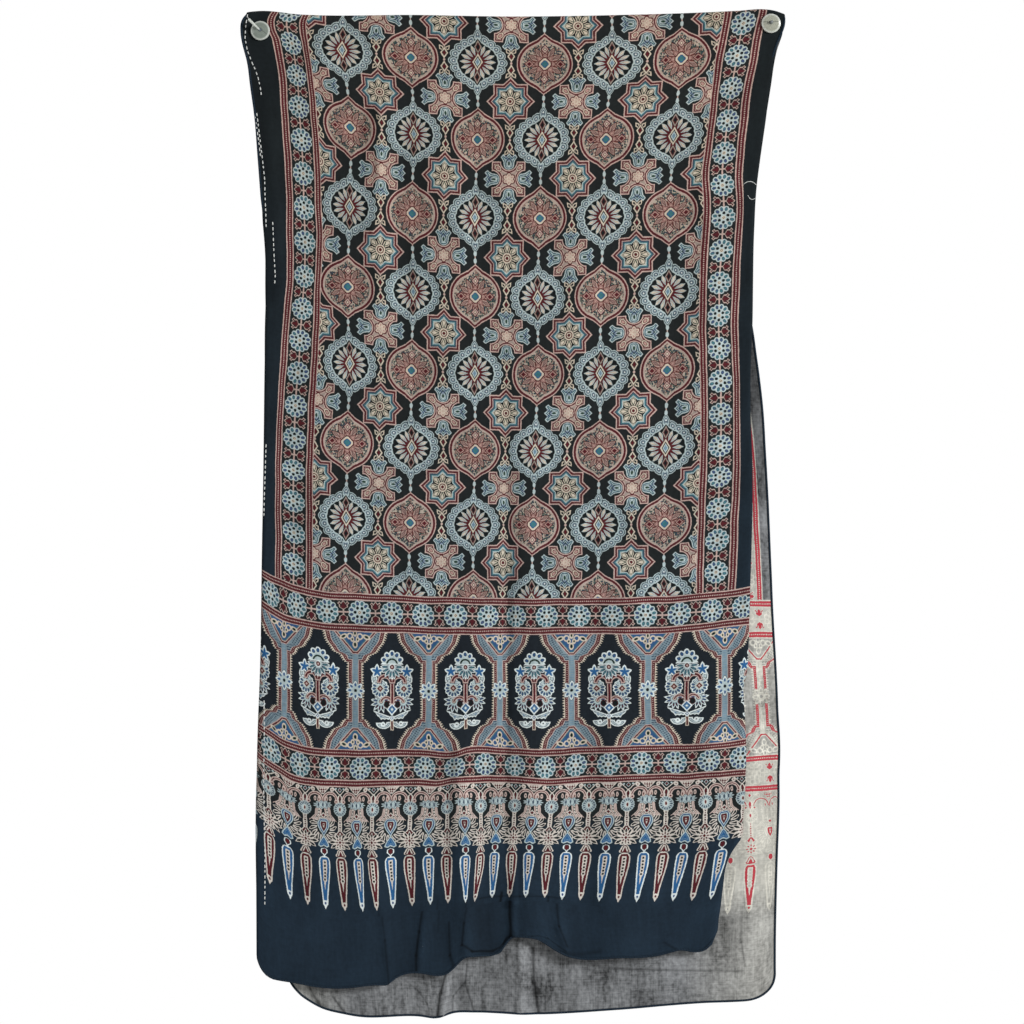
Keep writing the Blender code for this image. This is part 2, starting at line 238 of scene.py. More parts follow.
LACE_MARKS = (
    (190, (268, 288, 305, 322.5, 340, 356, 374, 391, 411, 430, 448, 463, 480.5, 499, 516,
             534.5, 552.5, 571.5, 589.5, 609.5, 628.5, 648.5, 666.5, 687.5, 706, 724)),
    (258, (269.6, 287.3, 306, 324.8, 340.9, 358.8, 371.8, 390.9, 409.3, 428.8, 446.8, 465.9,
             480.2, 494.5, 512.3, 528.8, 547.5, 566.3, 585.9, 605.5, 624.6, 643.9, 663.6, 683.2,
             702, 721.6)),
    (307, (269.6, 290.4, 307.9, 326, 345, 363.6, 377.1, 393.2, 411.8, 430.4, 448, 466.4,
             474.5, 492.1, 509.6, 525.7, 544.8, 561.4, 580, 598.8, 617.5, 636.4, 654.3, 672.9,
             691.3, 710.4)),
)  # fmt: skip
FIRST_BAND_MARK = (13.4, 34.8)
# For each region its marks, and the step of the first one and the steps from mark to mark
MARKS = {
    "field": (FIELD_MARKS, (FIRST_MEDALLION[0], MEDALLION_ACROSS)),
    "band": (BAND_MARKS, FIRST_BAND_MARK),
    "panel": (PANEL_MARKS, (FIRST_COLUMN - PANEL_REPEAT / 2, PANEL_REPEAT / 2)),
    "lace": (LACE_MARKS, (FIRST_COLUMN - PANEL_REPEAT / 4, PANEL_REPEAT / 4)),
}

# The back half, seen past the front's edge
BACK_ROWS = (
    (-547.2, ((240, 58), (515, 61), (785, 55))),
    (-311.4, ((240, 292), (515, 294), (785, 290))),
    (3.75, ((240, 602), (515, 604), (750, 604), (780, 604))),
    (34.25, ((240, 633), (515, 635), (750, 635.5), (780, 635.5))),
    (94.75, ((240, 694), (515, 697), (763, 697), (780, 696))),
    (155.25, ((240, 757), (515, 760), (750, 760), (780, 758))),
    (185.75, ((240, 787), (515, 791), (750, 790), (780, 788))),
    (258, ((240, 859), (515, 863), (750, 865), (780, 862))),
    (307, ((240, 908), (515, 912), (750, 914), (780, 911))),
)  # fmt: skip
BACK_LINES = (
    # down, outer left, inner left, inner right, outer right, left turn, right turn
    (-600, 276, 306.5, 729.7, 763, 0, 0),
    (-547.2, 279, 310, 712, 742, 0, 0),
    (-311.4, 292, 323, 700, 730, 0, 4),
    (-154.2, 294, 325, 722, 752, 0, 6),
    (-75.6, 295, 326, 726, 757, 0, 6),
    (3, 296, 327, 729, 761, 0, 6),
    (94.75, 296, 327, 737, 767, 0, 8),
    (258, 298, 329, 743.5, 775.5, 0, 14),
    (307, 299, 330, 741, 774, 0, 14),
    (410, 304, 335, 740, 773, 0, 14),
)  # fmt: skip

# Folds and creases in millimetres, as in the solid: where each is at its top and its bottom end,
# how far it stands off the sheet, and its half-width
FRONT_FOLDS = (
    # top across, bottom across, top height, bottom height, depth, half-width
    (-262, -248, -60, -330, 3.4, 13), (-240, -228, -250, -560, -2.6, 16),
    (-196, -205, -330, -900, 2.6, 30), (-142, -142, -70, -300, 4.6, 13),
    (-150, -156, -560, -1000, 3.6, 20), (-118, -122, -90, -330, -3.2, 16),
    (-105, -112, -700, -1000, -2.6, 16), (-66, -62, -60, -330, 2.4, 26),
    (-58, -52, -690, -975, 4.8, 13), (-40, -36, -60, -240, -4, 11),
    (-34, -26, -700, -1000, -4.4, 15), (-6, -8, -320, -1000, -4.6, 14),
    (14, 18, -300, -1000, 3.6, 17), (52, 58, -40, -420, 2.8, 28),
    (74, 70, -640, -980, -3.2, 20), (120, 112, -330, -980, 3, 34),
    (160, 156, -60, -470, -2.8, 26), (205, 190, -90, -420, 3.4, 17),
    (196, 200, -640, -960, 3, 22), (232, 228, -140, -800, -2.2, 14),
    (236, 214, -770, -960, 3.4, 15),
)  # fmt: skip
BACK_FOLDS = (
    (-205, -208, -900, -1030, 1.3, 14), (-168, -176, -880, -1030, -1.3, 15),
    (-74, -80, -930, -1030, 1.7, 10), (-40, -46, -880, -1030, -1.4, 13),
    (4, 6, -880, -1030, 1.6, 12), (60, 70, -500, -1030, -1, 40),
    (120, 130, -500, -1030, 1.2, 36), (236, 240, -520, -1030, 1.5, 13),
    (262, 266, -380, -1000, -1.3, 12),
)  # fmt: skip
# Finer creases, in steps on the photograph's plane: two ends (across, down), depth in
# millimetres (plus stands forward) and half-width
FRONT_CREASES = (
    (380.4, 108, 379.4, 170, 3.2, 3.6), (379.4, 170, 373.4, 236, 2.5, 3.6),
    (372, 120, 366, 232, 1.6, 6), (384, 112, 386, 220, 1.2, 6),
    (479.4, 106, 480.4, 186, 2.8, 3.6), (482.4, 188, 454.4, 262, 1.9, 4),
    (484, 110, 486, 180, 1, 6), (510.4, 345, 514.4, 600, 1.9, 3.6),
    (514.4, 600, 511.4, 820, 2.8, 3.6), (511.4, 820, 513.4, 902, 3, 3.6),
    (520, 380, 521, 900, 1.3, 8), (498, 420, 497, 880, 1, 9), (700, 186, 701, 215, 1.8, 4),
    (706.4, 215, 702.4, 268, 2.2, 4.5), (264, 66, 270, 180, 1.3, 4),
    (274.4, 90, 278.4, 300, 1.8, 4), (459.4, 748, 454.4, 800, 2.5, 3.6),
    (454.4, 800, 450.4, 872, 2.2, 3.6), (463, 752, 458, 866, 2, 5),
    (478.4, 850, 474.4, 905, 2.5, 3.6), (356, 790, 350, 905, 1.2, 6),
    (373.4, 840, 375.4, 908, 2, 3.6), (382.4, 905, 386.4, 950, 2.1, 3.6),
    (386.4, 950, 389.4, 983, 2, 3.6), (426.4, 915, 422.4, 945, 2.2, 3.6),
    (422.4, 945, 418.4, 972, 2.2, 3.6), (450.4, 925, 454.4, 960, 1.6, 3.6),
    (468.4, 905, 465.4, 950, 2, 3.6), (465.4, 950, 472.4, 958, 1.5, 3.6),
    (513.4, 902, 513.4, 948, 3.2, 3.6), (558.4, 897, 560.4, 930, 2.5, 3.6),
    (560.4, 930, 568.4, 955, 2.2, 3.6), (492, 895.5, 572, 895, 1.4, 3),
    (500, 902, 560, 902, 0.8, 5), (514, 935, 566, 937, 1.4, 3),
    (508.4, 944, 502.4, 951, 1.5, 3.6), (664, 943, 678, 948, 1.4, 4),
    (670, 770, 664, 900, -1, 7), (610, 640, 604, 900, 0.9, 12), (418, 640, 414, 900, 1, 12),
    (730.4, 836, 734.4, 862, 2, 4), (740, 838, 738, 860, 2, 5), (320, 560, 300, 900, -1.1, 9),
    (560, 90, 556, 330, -1, 10), (640, 120, 636, 420, 1, 14), (600, 60, 590, 200, -0.8, 8),
    (430, 60, 434, 200, 0.8, 10),
)  # fmt: skip
BACK_CREASES = (
    (304, 980, 304, 995, -0.9, 3.5), (304, 995, 314, 1008, -0.9, 3.5),
    (327, 986, 343, 1018, -1, 3.2), (444, 972, 438, 998, -1.6, 2.6),
    (438, 998, 437, 1022, -1.6, 2.6), (448, 978, 443, 1020, 1.4, 4),
    (466, 955, 466, 985, 1.2, 3), (466, 985, 452, 998, 1, 3),
    (466, 985, 473, 1014, 1, 3), (412, 978, 428, 1005, 0.7, 3.5),
    (520, 948, 520, 1018, 1.5, 4), (534, 945, 535, 985, -1.8, 2.6),
    (535, 985, 537, 1018, -1.6, 2.6), (545, 968, 740, 971, -0.8, 3),
    (742, 846, 744, 964, -0.8, 4), (760, 380, 766, 520, -0.7, 5),
    (764, 500, 768, 600, 0.7, 5), (752, 640, 750, 740, -0.8, 5),
    (772, 650, 774, 760, 0.6, 5), (728, 905, 726, 950, -0.6, 5),
)  # fmt: skip
# Fine pressed creases as painted shade and bump, and wide patches of painted light and shade, in
# steps on the photograph's plane: two ends (across, down), how dark (minus is paler) and half-width
FRONT_PAINTED_SHADING = (
    (422, 912, 419, 932, 0.5, 1.4), (419, 932, 416, 956, 0.55, 1.5),
    (416, 956, 416, 974, 0.5, 1.4), (426, 914, 421, 955, -0.18, 3),
    (381, 905, 385, 940, 0.25, 1.2), (385, 940, 389, 985, 0.35, 1.3),
    (440, 900, 438, 932, 0.22, 1.2), (449, 922, 450, 955, 0.4, 1.2),
    (450, 955, 455, 970, 0.45, 1.6), (468, 902, 464, 922, 0.3, 1.2),
    (464, 922, 462, 944, 0.5, 1.3), (462, 944, 472, 951, 0.5, 1.5),
    (472, 951, 492, 952, 0.55, 1.6), (492, 952, 504, 943, 0.5, 1.5),
    (504, 943, 512, 936, 0.55, 1.6), (511, 893, 511, 937, 0.75, 1.7),
    (516, 898, 516, 934, -0.14, 3), (557, 898, 559, 926, 0.5, 1.4),
    (559, 926, 567, 946, 0.45, 1.4), (489, 897.5, 530, 896, 0.35, 1.1),
    (530, 896, 572, 898.5, 0.35, 1.1), (513, 937, 532, 935.5, 0.35, 1),
    (532, 935.5, 548, 938, 0.3, 1), (516, 942, 530, 940, 0.3, 1), (548, 938, 566, 951, 0.4, 1.2),
    (484, 905, 486, 946, 0.34, 17), (402, 915, 402, 972, 0.2, 24), (446, 905, 444, 955, 0.16, 12),
    (575, 908, 576, 945, 0.12, 9), (664, 942, 676, 949, 0.4, 1.6), (560, 952, 600, 951, 0.35, 3),
    (700, 912, 701, 940, -0.06, 14),
)  # fmt: skip
BACK_PAINTED_SHADING = (
    (306, 984, 318, 1006, 0.5, 2.2), (318, 1006, 330, 1016, 0.45, 2),
    (332, 999, 344, 1016, 0.6, 1.5), (404, 982, 417, 992, 0.3, 1.1),
    (417, 992, 427, 1006, 0.35, 1.1), (427, 1006, 429, 1016, 0.35, 1.1),
    (446, 974, 440, 996, 0.7, 1.5), (440, 996, 437, 1018, 0.75, 1.7),
    (449, 980, 443, 1014, -0.22, 2.6), (468, 952, 465, 984, 0.45, 1.1),
    (465, 984, 453, 998, 0.35, 1.1), (453, 998, 452, 1014, 0.3, 1.1),
    (465, 986, 474, 1014, 0.5, 1.3), (533, 950, 534, 984, 0.7, 1.8),
    (534, 984, 539, 1016, 0.75, 2), (545, 964, 600, 967, 0.25, 1.6),
    (600, 970, 742, 973, 0.4, 1.6), (742, 918, 742, 944, 0.35, 1.6),
    (742, 944, 746, 968, 0.35, 1.1), (524, 952, 526, 1012, -0.25, 5),
    (496, 960, 498, 1010, 0.2, 14), (462, 990, 462, 1016, 0.25, 10),
    (566, 968, 566, 1010, 0.15, 20), (640, 985, 640, 1006, 0.15, 16),
    (726, 925, 728, 950, 0.2, 8), (400, 975, 400, 1010, -0.1, 20),
)  # fmt: skip
# Running stitches down the left margin and loose threads at the right one, in steps on the
# photograph's plane
STITCH_RUNS = (
    ((246.5, 12), (244.4, 24), (243.8, 36), (246, 48), (251, 61), (254.3, 68), (257.5, 77),
     (260, 87), (262, 100)),
    ((256.8, 113), (259, 130), (261, 146), (263, 162), (265, 180), (265.2, 194), (266, 212),
     (266.4, 228)),
    ((255.2, 116), (257.2, 130), (259.6, 147), (261.2, 160)),
    ((273, 222), (273.6, 236), (274.4, 256), (275.6, 276), (275, 284)),
    ((266, 444), (265.2, 470), (264.2, 500), (263.8, 518)),
    ((264, 700), (264.2, 730), (263.6, 785), (264, 815), (265, 855), (264.8, 908)),
)  # fmt: skip
LOOSE_THREADS = (
    ((743, 184.5), (747, 182), (751, 181.5), (754, 183), (757.5, 186)),
    ((747.5, 195), (750, 198.5), (752.5, 199.5), (755.5, 198)),
)
STITCH_PITCH = 5.3
STITCH_LENGTH = 3.7
STITCH_RADIUS = 0.6 * MM
THREAD_RADIUS = 0.3 * MM
# The rolled hem: its radius, how far in from the edge it lies, and the spacing of its rings
HEM_RADIUS = 1.15 * MM
HEM_INSET = 0.8 * HEM_RADIUS
HEM_SPACING = 2.4 * MM
HEM_REACH = 4 * MM

# Where each side of a half lies on the map named OFBake: its lower left and upper right corners
OUTER_MAP = np.array([[0.005, 0.165], [0.995, 0.995]])
INNER_MAP = np.array([[0.005, 0.02], [0.995, 0.155]])
BACK_OUTER_MAP = np.array([[0.005, 0.505], [0.995, 0.995]])
BACK_INNER_MAP = np.array([[0.005, 0.02], [0.995, 0.495]])
RIM_MAP = (0.002, 0.012)

# How pale the reverse of each region's ground is: the finer the print, the paler
PALENESS = {"plain": 0.1, "border": 0.7, "field": 0.6, "band": 0.78, "panel": 0.45, "lace": 0.78}

# The camera looks straight at the photograph's middle, from where its lens takes in the whole
PICTURE = 1024
LENS, SENSOR = 85, 36
VIEW_DISTANCE = PICTURE * STEP * LENS / SENSOR + 0.0155
VIEW_MIDDLE = ((PICTURE / 2 - MID_ACROSS) * STEP, (MID_DOWN - PICTURE / 2) * STEP)
FLOOR = -1.35
# Each light: its name, where it stands, where it aims, its width in metres and its power in watts
LIGHTS = (
    ("key light", (3.2, -2.8, 0.7), (0, 0, -0.5), 1.1, 196),
    ("fill light", (-1.8, -2.6, 0.6), (0, 0, -0.5), 1.6, 9),
    ("back light", (-1.4, 2.4, 0.9), (0, 0, -0.5), 1.6, 70),
)

# What each half is laid out by
FRONT = {
    "left edge": FRONT_LEFT_EDGE, "right edge": FRONT_RIGHT_EDGE, "hem": FRONT_HEM,
    "rows": FRONT_ROWS, "lines": FRONT_LINES, "plain end": FRONT_PLAIN_END,
    "folds": FRONT_FOLDS, "creases": FRONT_CREASES, "near": NEAR_FRONT,
    "rest": FRONT_REST_DEPTH, "roll": FRONT_ROLL, "curl": FRONT_CURL,
}  # fmt: skip
BACK = {
    "left edge": BACK_LEFT_EDGE, "right edge": BACK_RIGHT_EDGE, "hem": BACK_HEM,
    "rows": BACK_ROWS, "lines": BACK_LINES, "plain end": BACK_PLAIN_END,
    "folds": BACK_FOLDS, "creases": BACK_CREASES, "near": NEAR_BACK,
    "rest": BACK_REST_DEPTH, "roll": BACK_ROLL, "curl": BACK_CURL,
}  # fmt: skip


def curve_through(table, at):
    """A smooth curve through the rows of a table, read at the given places: a cubic between
    each two rows, whose slopes are the mean slopes there."""
    knots, values = np.array(sorted(table), float).T
    slopes = np.gradient(values, knots)
    left = np.clip(np.searchsorted(knots, at) - 1, 0, len(knots) - 2)
    span = knots[left + 1] - knots[left]
    t = (at - knots[left]) / span
    beyond = (t < 0) | (t > 1)
    end = np.where(t < 0, 0.0, 1.0)
    held = np.where(beyond, end, t)
    inside = (
        (1 + 2 * held) * (1 - held) ** 2 * values[left]
        + held * (1 - held) ** 2 * span * slopes[left]
        + held**2 * (3 - 2 * held) * values[left + 1]
        - held**2 * (1 - held) * span * slopes[left + 1]
    )
    run_on = np.where(t < 0, slopes[left], slopes[left + 1]) * (t - end) * span
    return inside + np.where(beyond, run_on, 0.0)


def blend_rows(places, at):
    """How much each listed row counts at each asked one: the curve above through rows that are
    all nought but one, so that any table may be carried smoothly from row to row."""
    ones = np.eye(len(places))
    return np.stack([curve_through(list(zip(places, one)), at) for one in ones], axis=1)


def ease(at, start, end):
    """0 before start, 1 past end, and a smooth climb between."""
    t = np.clip((at - start) / (end - start), 0, 1)
    return t * t * (3 - 2 * t)


def to_metres(across, down):
    """Steps on the photograph's plane to metres: across to X, and down to Z."""
    return (across - MID_ACROSS) * STEP, (MID_DOWN - down) * STEP


def folds_at(folds, x, z):
    """Each fold is a bell across the cloth that fades in and out along its length."""
    total = np.zeros_like(x)
    for top_x, bottom_x, top_z, bottom_z, depth, half_width in folds:
        length = top_z - bottom_z
        along = np.clip((top_z - z) / length, 0, 1)
        centre = top_x + (bottom_x - top_x) * along
        fade = ease(top_z - z, -0.1 * length, 0.3 * length)
        fade = fade * (1 - ease(top_z - z, 0.85 * length, 1.25 * length))
        total += depth * fade * np.exp(-(((x - centre) / half_width) ** 2))
    return total


def creases_at(creases, across, down):
    """Each crease is a bell about a straight line between its two ends, rounded past them."""
    total = np.zeros_like(across)
    for x0, y0, x1, y1, depth, half_width in creases:
        run = np.hypot(x1 - x0, y1 - y0)
        share = ((across - x0) * (x1 - x0) + (down - y0) * (y1 - y0)) / run**2
        share = np.clip(share, 0, 1)
        away = np.hypot(across - x0 - (x1 - x0) * share, down - y0 - (y1 - y0) * share)
        total += depth * np.exp(-((away / half_width) ** 2))
    return total


def pinned(x, z):
    """0 under a pin's head, where the layers are pressed flat, and 1 away from both pins."""
    free = np.ones_like(x)
    for pin_x, pin_z in PINS.values():
        reach = np.hypot(x - pin_x * MM, z - pin_z * MM)
        free = free * ease(reach, PIN_SEAT, PIN_EASE)
    return free


def between(*stops):
    """Stations that run through the given (place, cells up to the next) pairs."""
    parts = [
        np.linspace(place, after, cells + 1)[:-1]
        for (place, cells), (after, _) in zip(stops, stops[1:])
    ]
    return np.concatenate([*parts, [stops[-1][0]]])


# Where the left selvedge hangs at first, before its place is sought in a few rounds
LEFT_GUESS = 243
EDGE_ROUNDS = 6


def hang(layout, down):
    """Where each row of the print crosses each line of the cloth, in steps on the photograph's
    plane. A row runs at the heights that its table gives. Down to the first row the cloth takes
    even shares from the fold line, and below the last one even shares to the hem. A line of the
    cloth runs at the places across that the stripes' table gives. Past the outline the selvedge
    is turned behind, and its places are counted back from the edge."""
    rows, lines, hem = layout["rows"], layout["lines"], layout["hem"]
    first, last = rows[0][0], rows[-1][0]
    held = np.clip(down, first, last)
    weights = blend_rows([row for row, _ in rows], held)
    to_fold = np.clip((first - down) / (first - FOLD_ROW), 0, 1)[:, None]
    to_hem = np.clip((down - last) / layout["plain end"], 0, 1)[:, None]

    def height(across):
        listed = np.stack([curve_through(table, across) for _, table in rows])
        on_print = np.einsum("ir,rij->ij", weights, listed)
        x_mm = (across - MID_ACROSS) * STEP / MM
        fold = MID_DOWN - curve_through(FOLD_LINE, x_mm) * MM / STEP
        held_x = np.clip(x_mm, hem[0][0], hem[-1][0])
        end = MID_DOWN - curve_through(hem, held_x) * MM / STEP
        return (on_print * (1 - to_fold) + fold * to_fold) * (1 - to_hem) + end * to_hem

    places = [row[0] for row in lines]
    carried = blend_rows(places, np.clip(down, places[0], places[-1])) @ np.array(lines)[:, 1:]
    stripes, turns = carried[:, :4], np.maximum(carried[:, 4:], 0)
    across = np.zeros((len(down), len(ACROSS))) + ACROSS + LEFT_GUESS
    for _ in range(EDGE_ROUNDS):
        heights = height(across)
        edge_z = (MID_DOWN - heights[:, [0, -1]]) * STEP / MM
        left, right = (
            curve_through(layout[edge], edge_z[:, side]) * MM / STEP + MID_ACROSS
            for side, edge in enumerate(("left edge", "right edge"))
        )
        for row in range(len(down)):
            knots = [turns[row, 0], *STRIPES, CLOTH_WIDTH - turns[row, 1]]
            values = [left[row], *stripes[row], right[row]]
            shown = np.clip(ACROSS, knots[0], knots[-1])
            across[row] = curve_through(list(zip(knots, values)), shown)
    return across, heights, turns


def turn_behind(across, turns, roll):
    """The selvedge goes round a small roll at the outline and then back behind the cloth. Along
    the cloth from where it leaves the flat, the turn's angle is that way over the roll's radius,
    up to half a turn. Returns the places across, and how far behind each point lies."""
    behind = np.zeros_like(across)
    placed = across.copy()
    for side, turn, sign in ((0, turns[:, 0], 1), (-1, turns[:, 1], -1)):
        size = roll * np.clip(turn / (3 * roll), 0, 1)[:, None] + 1e-6
        own = ACROSS if side == 0 else CLOTH_WIDTH - ACROSS
        past = (turn[:, None] + size) - own[None, :]
        angle = np.clip(past / size, 0, math.pi)
        straight = np.maximum(past - size * math.pi, 0)
        edge = across[:, side][:, None]
        turned = edge + sign * (size * (1 - np.sin(angle)) + straight)
        bent = (past > 0) & (turn[:, None] > 0.5)
        placed = np.where(bent, turned, placed)
        behind = np.where(bent, size * (1 - np.cos(angle)), behind)
    return placed, behind


ACROSS = np.concatenate([
    [0, 1.5, 3, 5, 7.5, 10.5, 14, 18, 22],
    between((26, 11), (66, 112), (483.5, 11), (523.5, 0)),
    [527, 530, 533, 535.5, 538, 540, CLOTH_WIDTH],
])  # fmt: skip
PRINT_DOWN = between(
    (FOLD_ROW, 158), (0, 2), (STRIPE, 6), (STRIPE + ROUNDELS, 2), (PANEL_TOP, 30),
    (PANEL_END, 2), (PANEL_END + STRIPE, 6), (PANEL_END + STRIPE + ROUNDELS, 2),
    (LACE_TOP, 18), (DAGGERS_TOP, 13), (DAGGERS_END, 0),
)  # fmt: skip
HEM_SHARES = np.array([0.04, 0.09, 0.15, 0.21, 0.27, 0.33, 0.39, 0.45, 0.51, 0.57, 0.63, 0.69,
                       0.75, 0.8, 0.85, 0.89, 0.925, 0.955, 0.98, 1.0])  # fmt: skip
# The rows of the turn over the fold, and how far apart they are in steps
TURN_STEPS = 4
TURN_ROW = 0.6


def hung_at(layout, across, down):
    """Where a half hangs at places on the photograph's plane, given in steps: X, Y and Z in
    metres, and how far it is free of the fold and the pins there, from 0 to 1."""
    x, z = to_metres(across, down)
    fold_z = curve_through(FOLD_LINE, x / MM) * MM
    folds = folds_at(layout["folds"], x / MM, z / MM)
    folds = folds + creases_at(layout["creases"], across, down)
    free = ease(fold_z - z, 0, DEEPEN_OVER) * pinned(x, z)
    near = layout["near"]
    return x, near + (layout["rest"] - near - folds * MM) * free, z, free


def lay_out(layout):
    """The sheet of the front or the back half: its middle points in metres, the row of the
    cloth at each, and the places on the photograph's plane that its print is set by."""
    down = np.concatenate([PRINT_DOWN, DAGGERS_END + HEM_SHARES * layout["plain end"]])
    across, heights, turns = hang(layout, down)
    placed, behind = turn_behind(across, turns, layout["roll"])
    x, y, z, free = hung_at(layout, placed, heights)
    y = np.minimum(y + behind * STEP * np.minimum(free * layout["curl"], 1), layout["near"])
    return np.stack([x, y, z], axis=-1), down, across, heights


def over_the_fold(front, back):
    """Adds a quarter turn over the pressed fold to each half, where they meet edge to edge."""
    turns = np.linspace(0, math.pi / 2, TURN_STEPS + 1)[1:]
    front_turn, back_turn = [], []
    for turn in turns:
        lift = FOLD_RADIUS * math.sin(turn)
        share = (1 - math.cos(turn)) / 2
        for rows, near, far in ((front_turn, front[0], back[0]), (back_turn, back[0], front[0])):
            row = near * (1 - share) + far * share
            row[:, 2] += lift
            rows.append(row)
    return (
        np.concatenate([np.array(front_turn)[::-1], front]),
        np.concatenate([np.array(back_turn)[::-1], back]),
    )


def marks_at(marks, first_and_pitch, across, down):
    """Reads the print's step across from where its marks lie: along each listed row it runs
    evenly from mark to mark, and it is carried smoothly from row to row."""
    first, pitch = first_and_pitch
    listed = []
    for _, places in marks:
        steps = first + pitch * np.arange(len(places))
        places = np.array(places, float)
        start, end = np.argmin(places), np.argmax(places)
        slope_in = pitch / (places[start + 1] - places[start])
        slope_out = pitch / (places[end] - places[end - 1])
        read = np.interp(across, places, steps)
        read = read + np.minimum(across - places[0], 0) * slope_in
        listed.append(read + np.maximum(across - places[-1], 0) * slope_out)
    if len(marks) == 1:
        return listed[0]
    rows = [row for row, _ in marks]
    weights = blend_rows(rows, np.clip(down, rows[0], rows[-1]))
    return np.einsum("ir,rij->ij", weights, np.stack(listed))


def grid_faces(rows, columns):
    """The four corners of every cell of a grid, row by row."""
    index = np.arange(rows * columns).reshape(rows, columns)
    corners = (index[:-1, :-1], index[1:, :-1], index[1:, 1:], index[:-1, 1:])
    return np.stack([part.ravel() for part in corners], axis=1)


REGIONS = ("plain", "border", "field", "band", "panel", "lace")


def region_of(down):
    """The region of the print that each cell of a half lies in, as a place in REGIONS."""
    row = (down[1:] + down[:-1])[:, None] / 2
    line = (ACROSS[1:] + ACROSS[:-1])[None, :] / 2
    region = np.zeros((row.size, line.size), int)
    in_left = (line > LEFT_BORDER[0]) & (line < LEFT_BORDER[1])
    in_right = (line > RIGHT_BORDER[0]) & (line < RIGHT_BORDER[1])
    in_field = (line > LEFT_BORDER[1]) & (line < RIGHT_BORDER[0])
    for name, here in (
        ("border", (row < 0) & (in_left | in_right)),
        ("field", (row < 0) & in_field),
        ("band", ((row > 0) & (row < BAND)) | ((row > PANEL_END) & (row < LACE_TOP))),
        ("panel", (row > PANEL_TOP) & (row < PANEL_END)),
        ("lace", (row > LACE_TOP) & (row < DAGGERS_END + 6)),
    ):
        region[np.broadcast_to(here, region.shape)] = REGIONS.index(name)
    return region


def print_steps(region, down, across, print_down, front):
    """The print's steps at the four corners of every cell. Each block was printed by itself, so
    a cell reads its region's own marks, and two regions may meet off line, as printed ones do.
    Behind the front, the print is read straight from the cloth's lines."""
    line = np.broadcast_to(ACROSS, across.shape)
    reads = dict.fromkeys(REGIONS, line)
    if front:
        for name, (marks, first_and_pitch) in MARKS.items():
            reads[name] = marks_at(marks, first_and_pitch, across, down)
    by_region = np.stack([reads[name] for name in REGIONS])
    height, width = region.shape
    steps = np.empty((height, width, 4, 2))
    cell_row, cell_line = np.indices(region.shape)
    for corner, (i, j) in enumerate([(0, 0), (1, 0), (1, 1), (0, 1)]):
        steps[:, :, corner, 0] = by_region[region, cell_row + i, cell_line + j]
        steps[:, :, corner, 1] = print_down[i : i + height, j : j + width]
    return steps


def make_sheet(name, middle, steps, region, front):
    """One closed half: the middle grid moved half its thickness each way along its normals, and
    rims round the edge. Its own map of print steps is kept in metres of cloth, and the map named
    OFBake gives the shown face most of the room."""
    along, across = np.gradient(middle, axis=0), np.gradient(middle, axis=1)
    normal = np.cross(along, across)
    normal /= np.linalg.norm(normal, axis=-1, keepdims=True)
    if not front:
        normal = -normal
    rows, columns = middle.shape[:2]
    outer, inner = middle + normal * THICKNESS / 2, middle - normal * THICKNESS / 2
    points = np.concatenate([outer.reshape(-1, 3), inner.reshape(-1, 3)])
    cells = grid_faces(rows, columns)
    under = rows * columns
    index = np.arange(under).reshape(rows, columns)
    rim = np.concatenate([index[0, :], index[1:, -1], index[-1, -2::-1], index[-2:0:-1, 0]])
    after = np.roll(rim, -1)
    sides = np.stack([rim, after, after + under, rim + under], axis=1)
    outward, inward, rims = cells, cells[:, ::-1] + under, sides
    if not front:
        outward, inward, rims = cells[:, ::-1], cells + under, sides[:, ::-1]
    faces = np.concatenate([outward, inward, rims])
    mesh = bpy.data.meshes.new(name)
    mesh.from_pydata(points.tolist(), [], faces.tolist())
    kinds = len(REGIONS)
    plain = np.zeros(len(sides), int)
    slots = np.concatenate([region.ravel(), region.ravel() + kinds, plain])
    mesh.polygons.foreach_set("material_index", slots)

    corners = steps.reshape(-1, 4, 2) * STEP
    outward_steps = corners if front else corners[:, ::-1]
    inward_steps = corners[:, ::-1] if front else corners
    rim_steps = np.zeros((len(sides), 4, 2))
    fill = np.concatenate([outward_steps, inward_steps, rim_steps])
    layer = mesh.uv_layers.new(name="print")
    layer.data.foreach_set("uv", fill.astype(np.float32).ravel())

    share_up, share_across = np.meshgrid(
        np.linspace(1, 0, rows), np.linspace(0, 1, columns), indexing="ij"
    )
    shares = np.stack([share_across, share_up], -1).reshape(-1, 2)[cells]
    from_behind = np.stack([1 - share_across, share_up], -1).reshape(-1, 2)[cells]
    outer_shares, inner_shares = (shares, from_behind) if front else (from_behind, shares)
    shown, other = (OUTER_MAP, INNER_MAP) if front else (BACK_OUTER_MAP, BACK_INNER_MAP)
    outer_map = shown[0] + outer_shares * (shown[1] - shown[0])
    inner_map = other[0] + inner_shares * (other[1] - other[0])
    if front:
        inner_map = inner_map[:, ::-1]
    else:
        outer_map = outer_map[:, ::-1]
    rim_share = np.linspace(0, 1, len(sides) + 1)
    low, high = RIM_MAP
    rim_map = np.stack([
        np.stack([rim_share[:-1], np.full(len(sides), low)], -1),
        np.stack([rim_share[1:], np.full(len(sides), low)], -1),
        np.stack([rim_share[1:], np.full(len(sides), high)], -1),
        np.stack([rim_share[:-1], np.full(len(sides), high)], -1),
    ], axis=1)
    bake = mesh.uv_layers.new(name="OFBake")
    layout = np.concatenate([outer_map, inner_map, rim_map])
    bake.data.foreach_set("uv", layout.astype(np.float32).ravel())
    mesh.shade_smooth()
    mesh.validate()
    return mesh


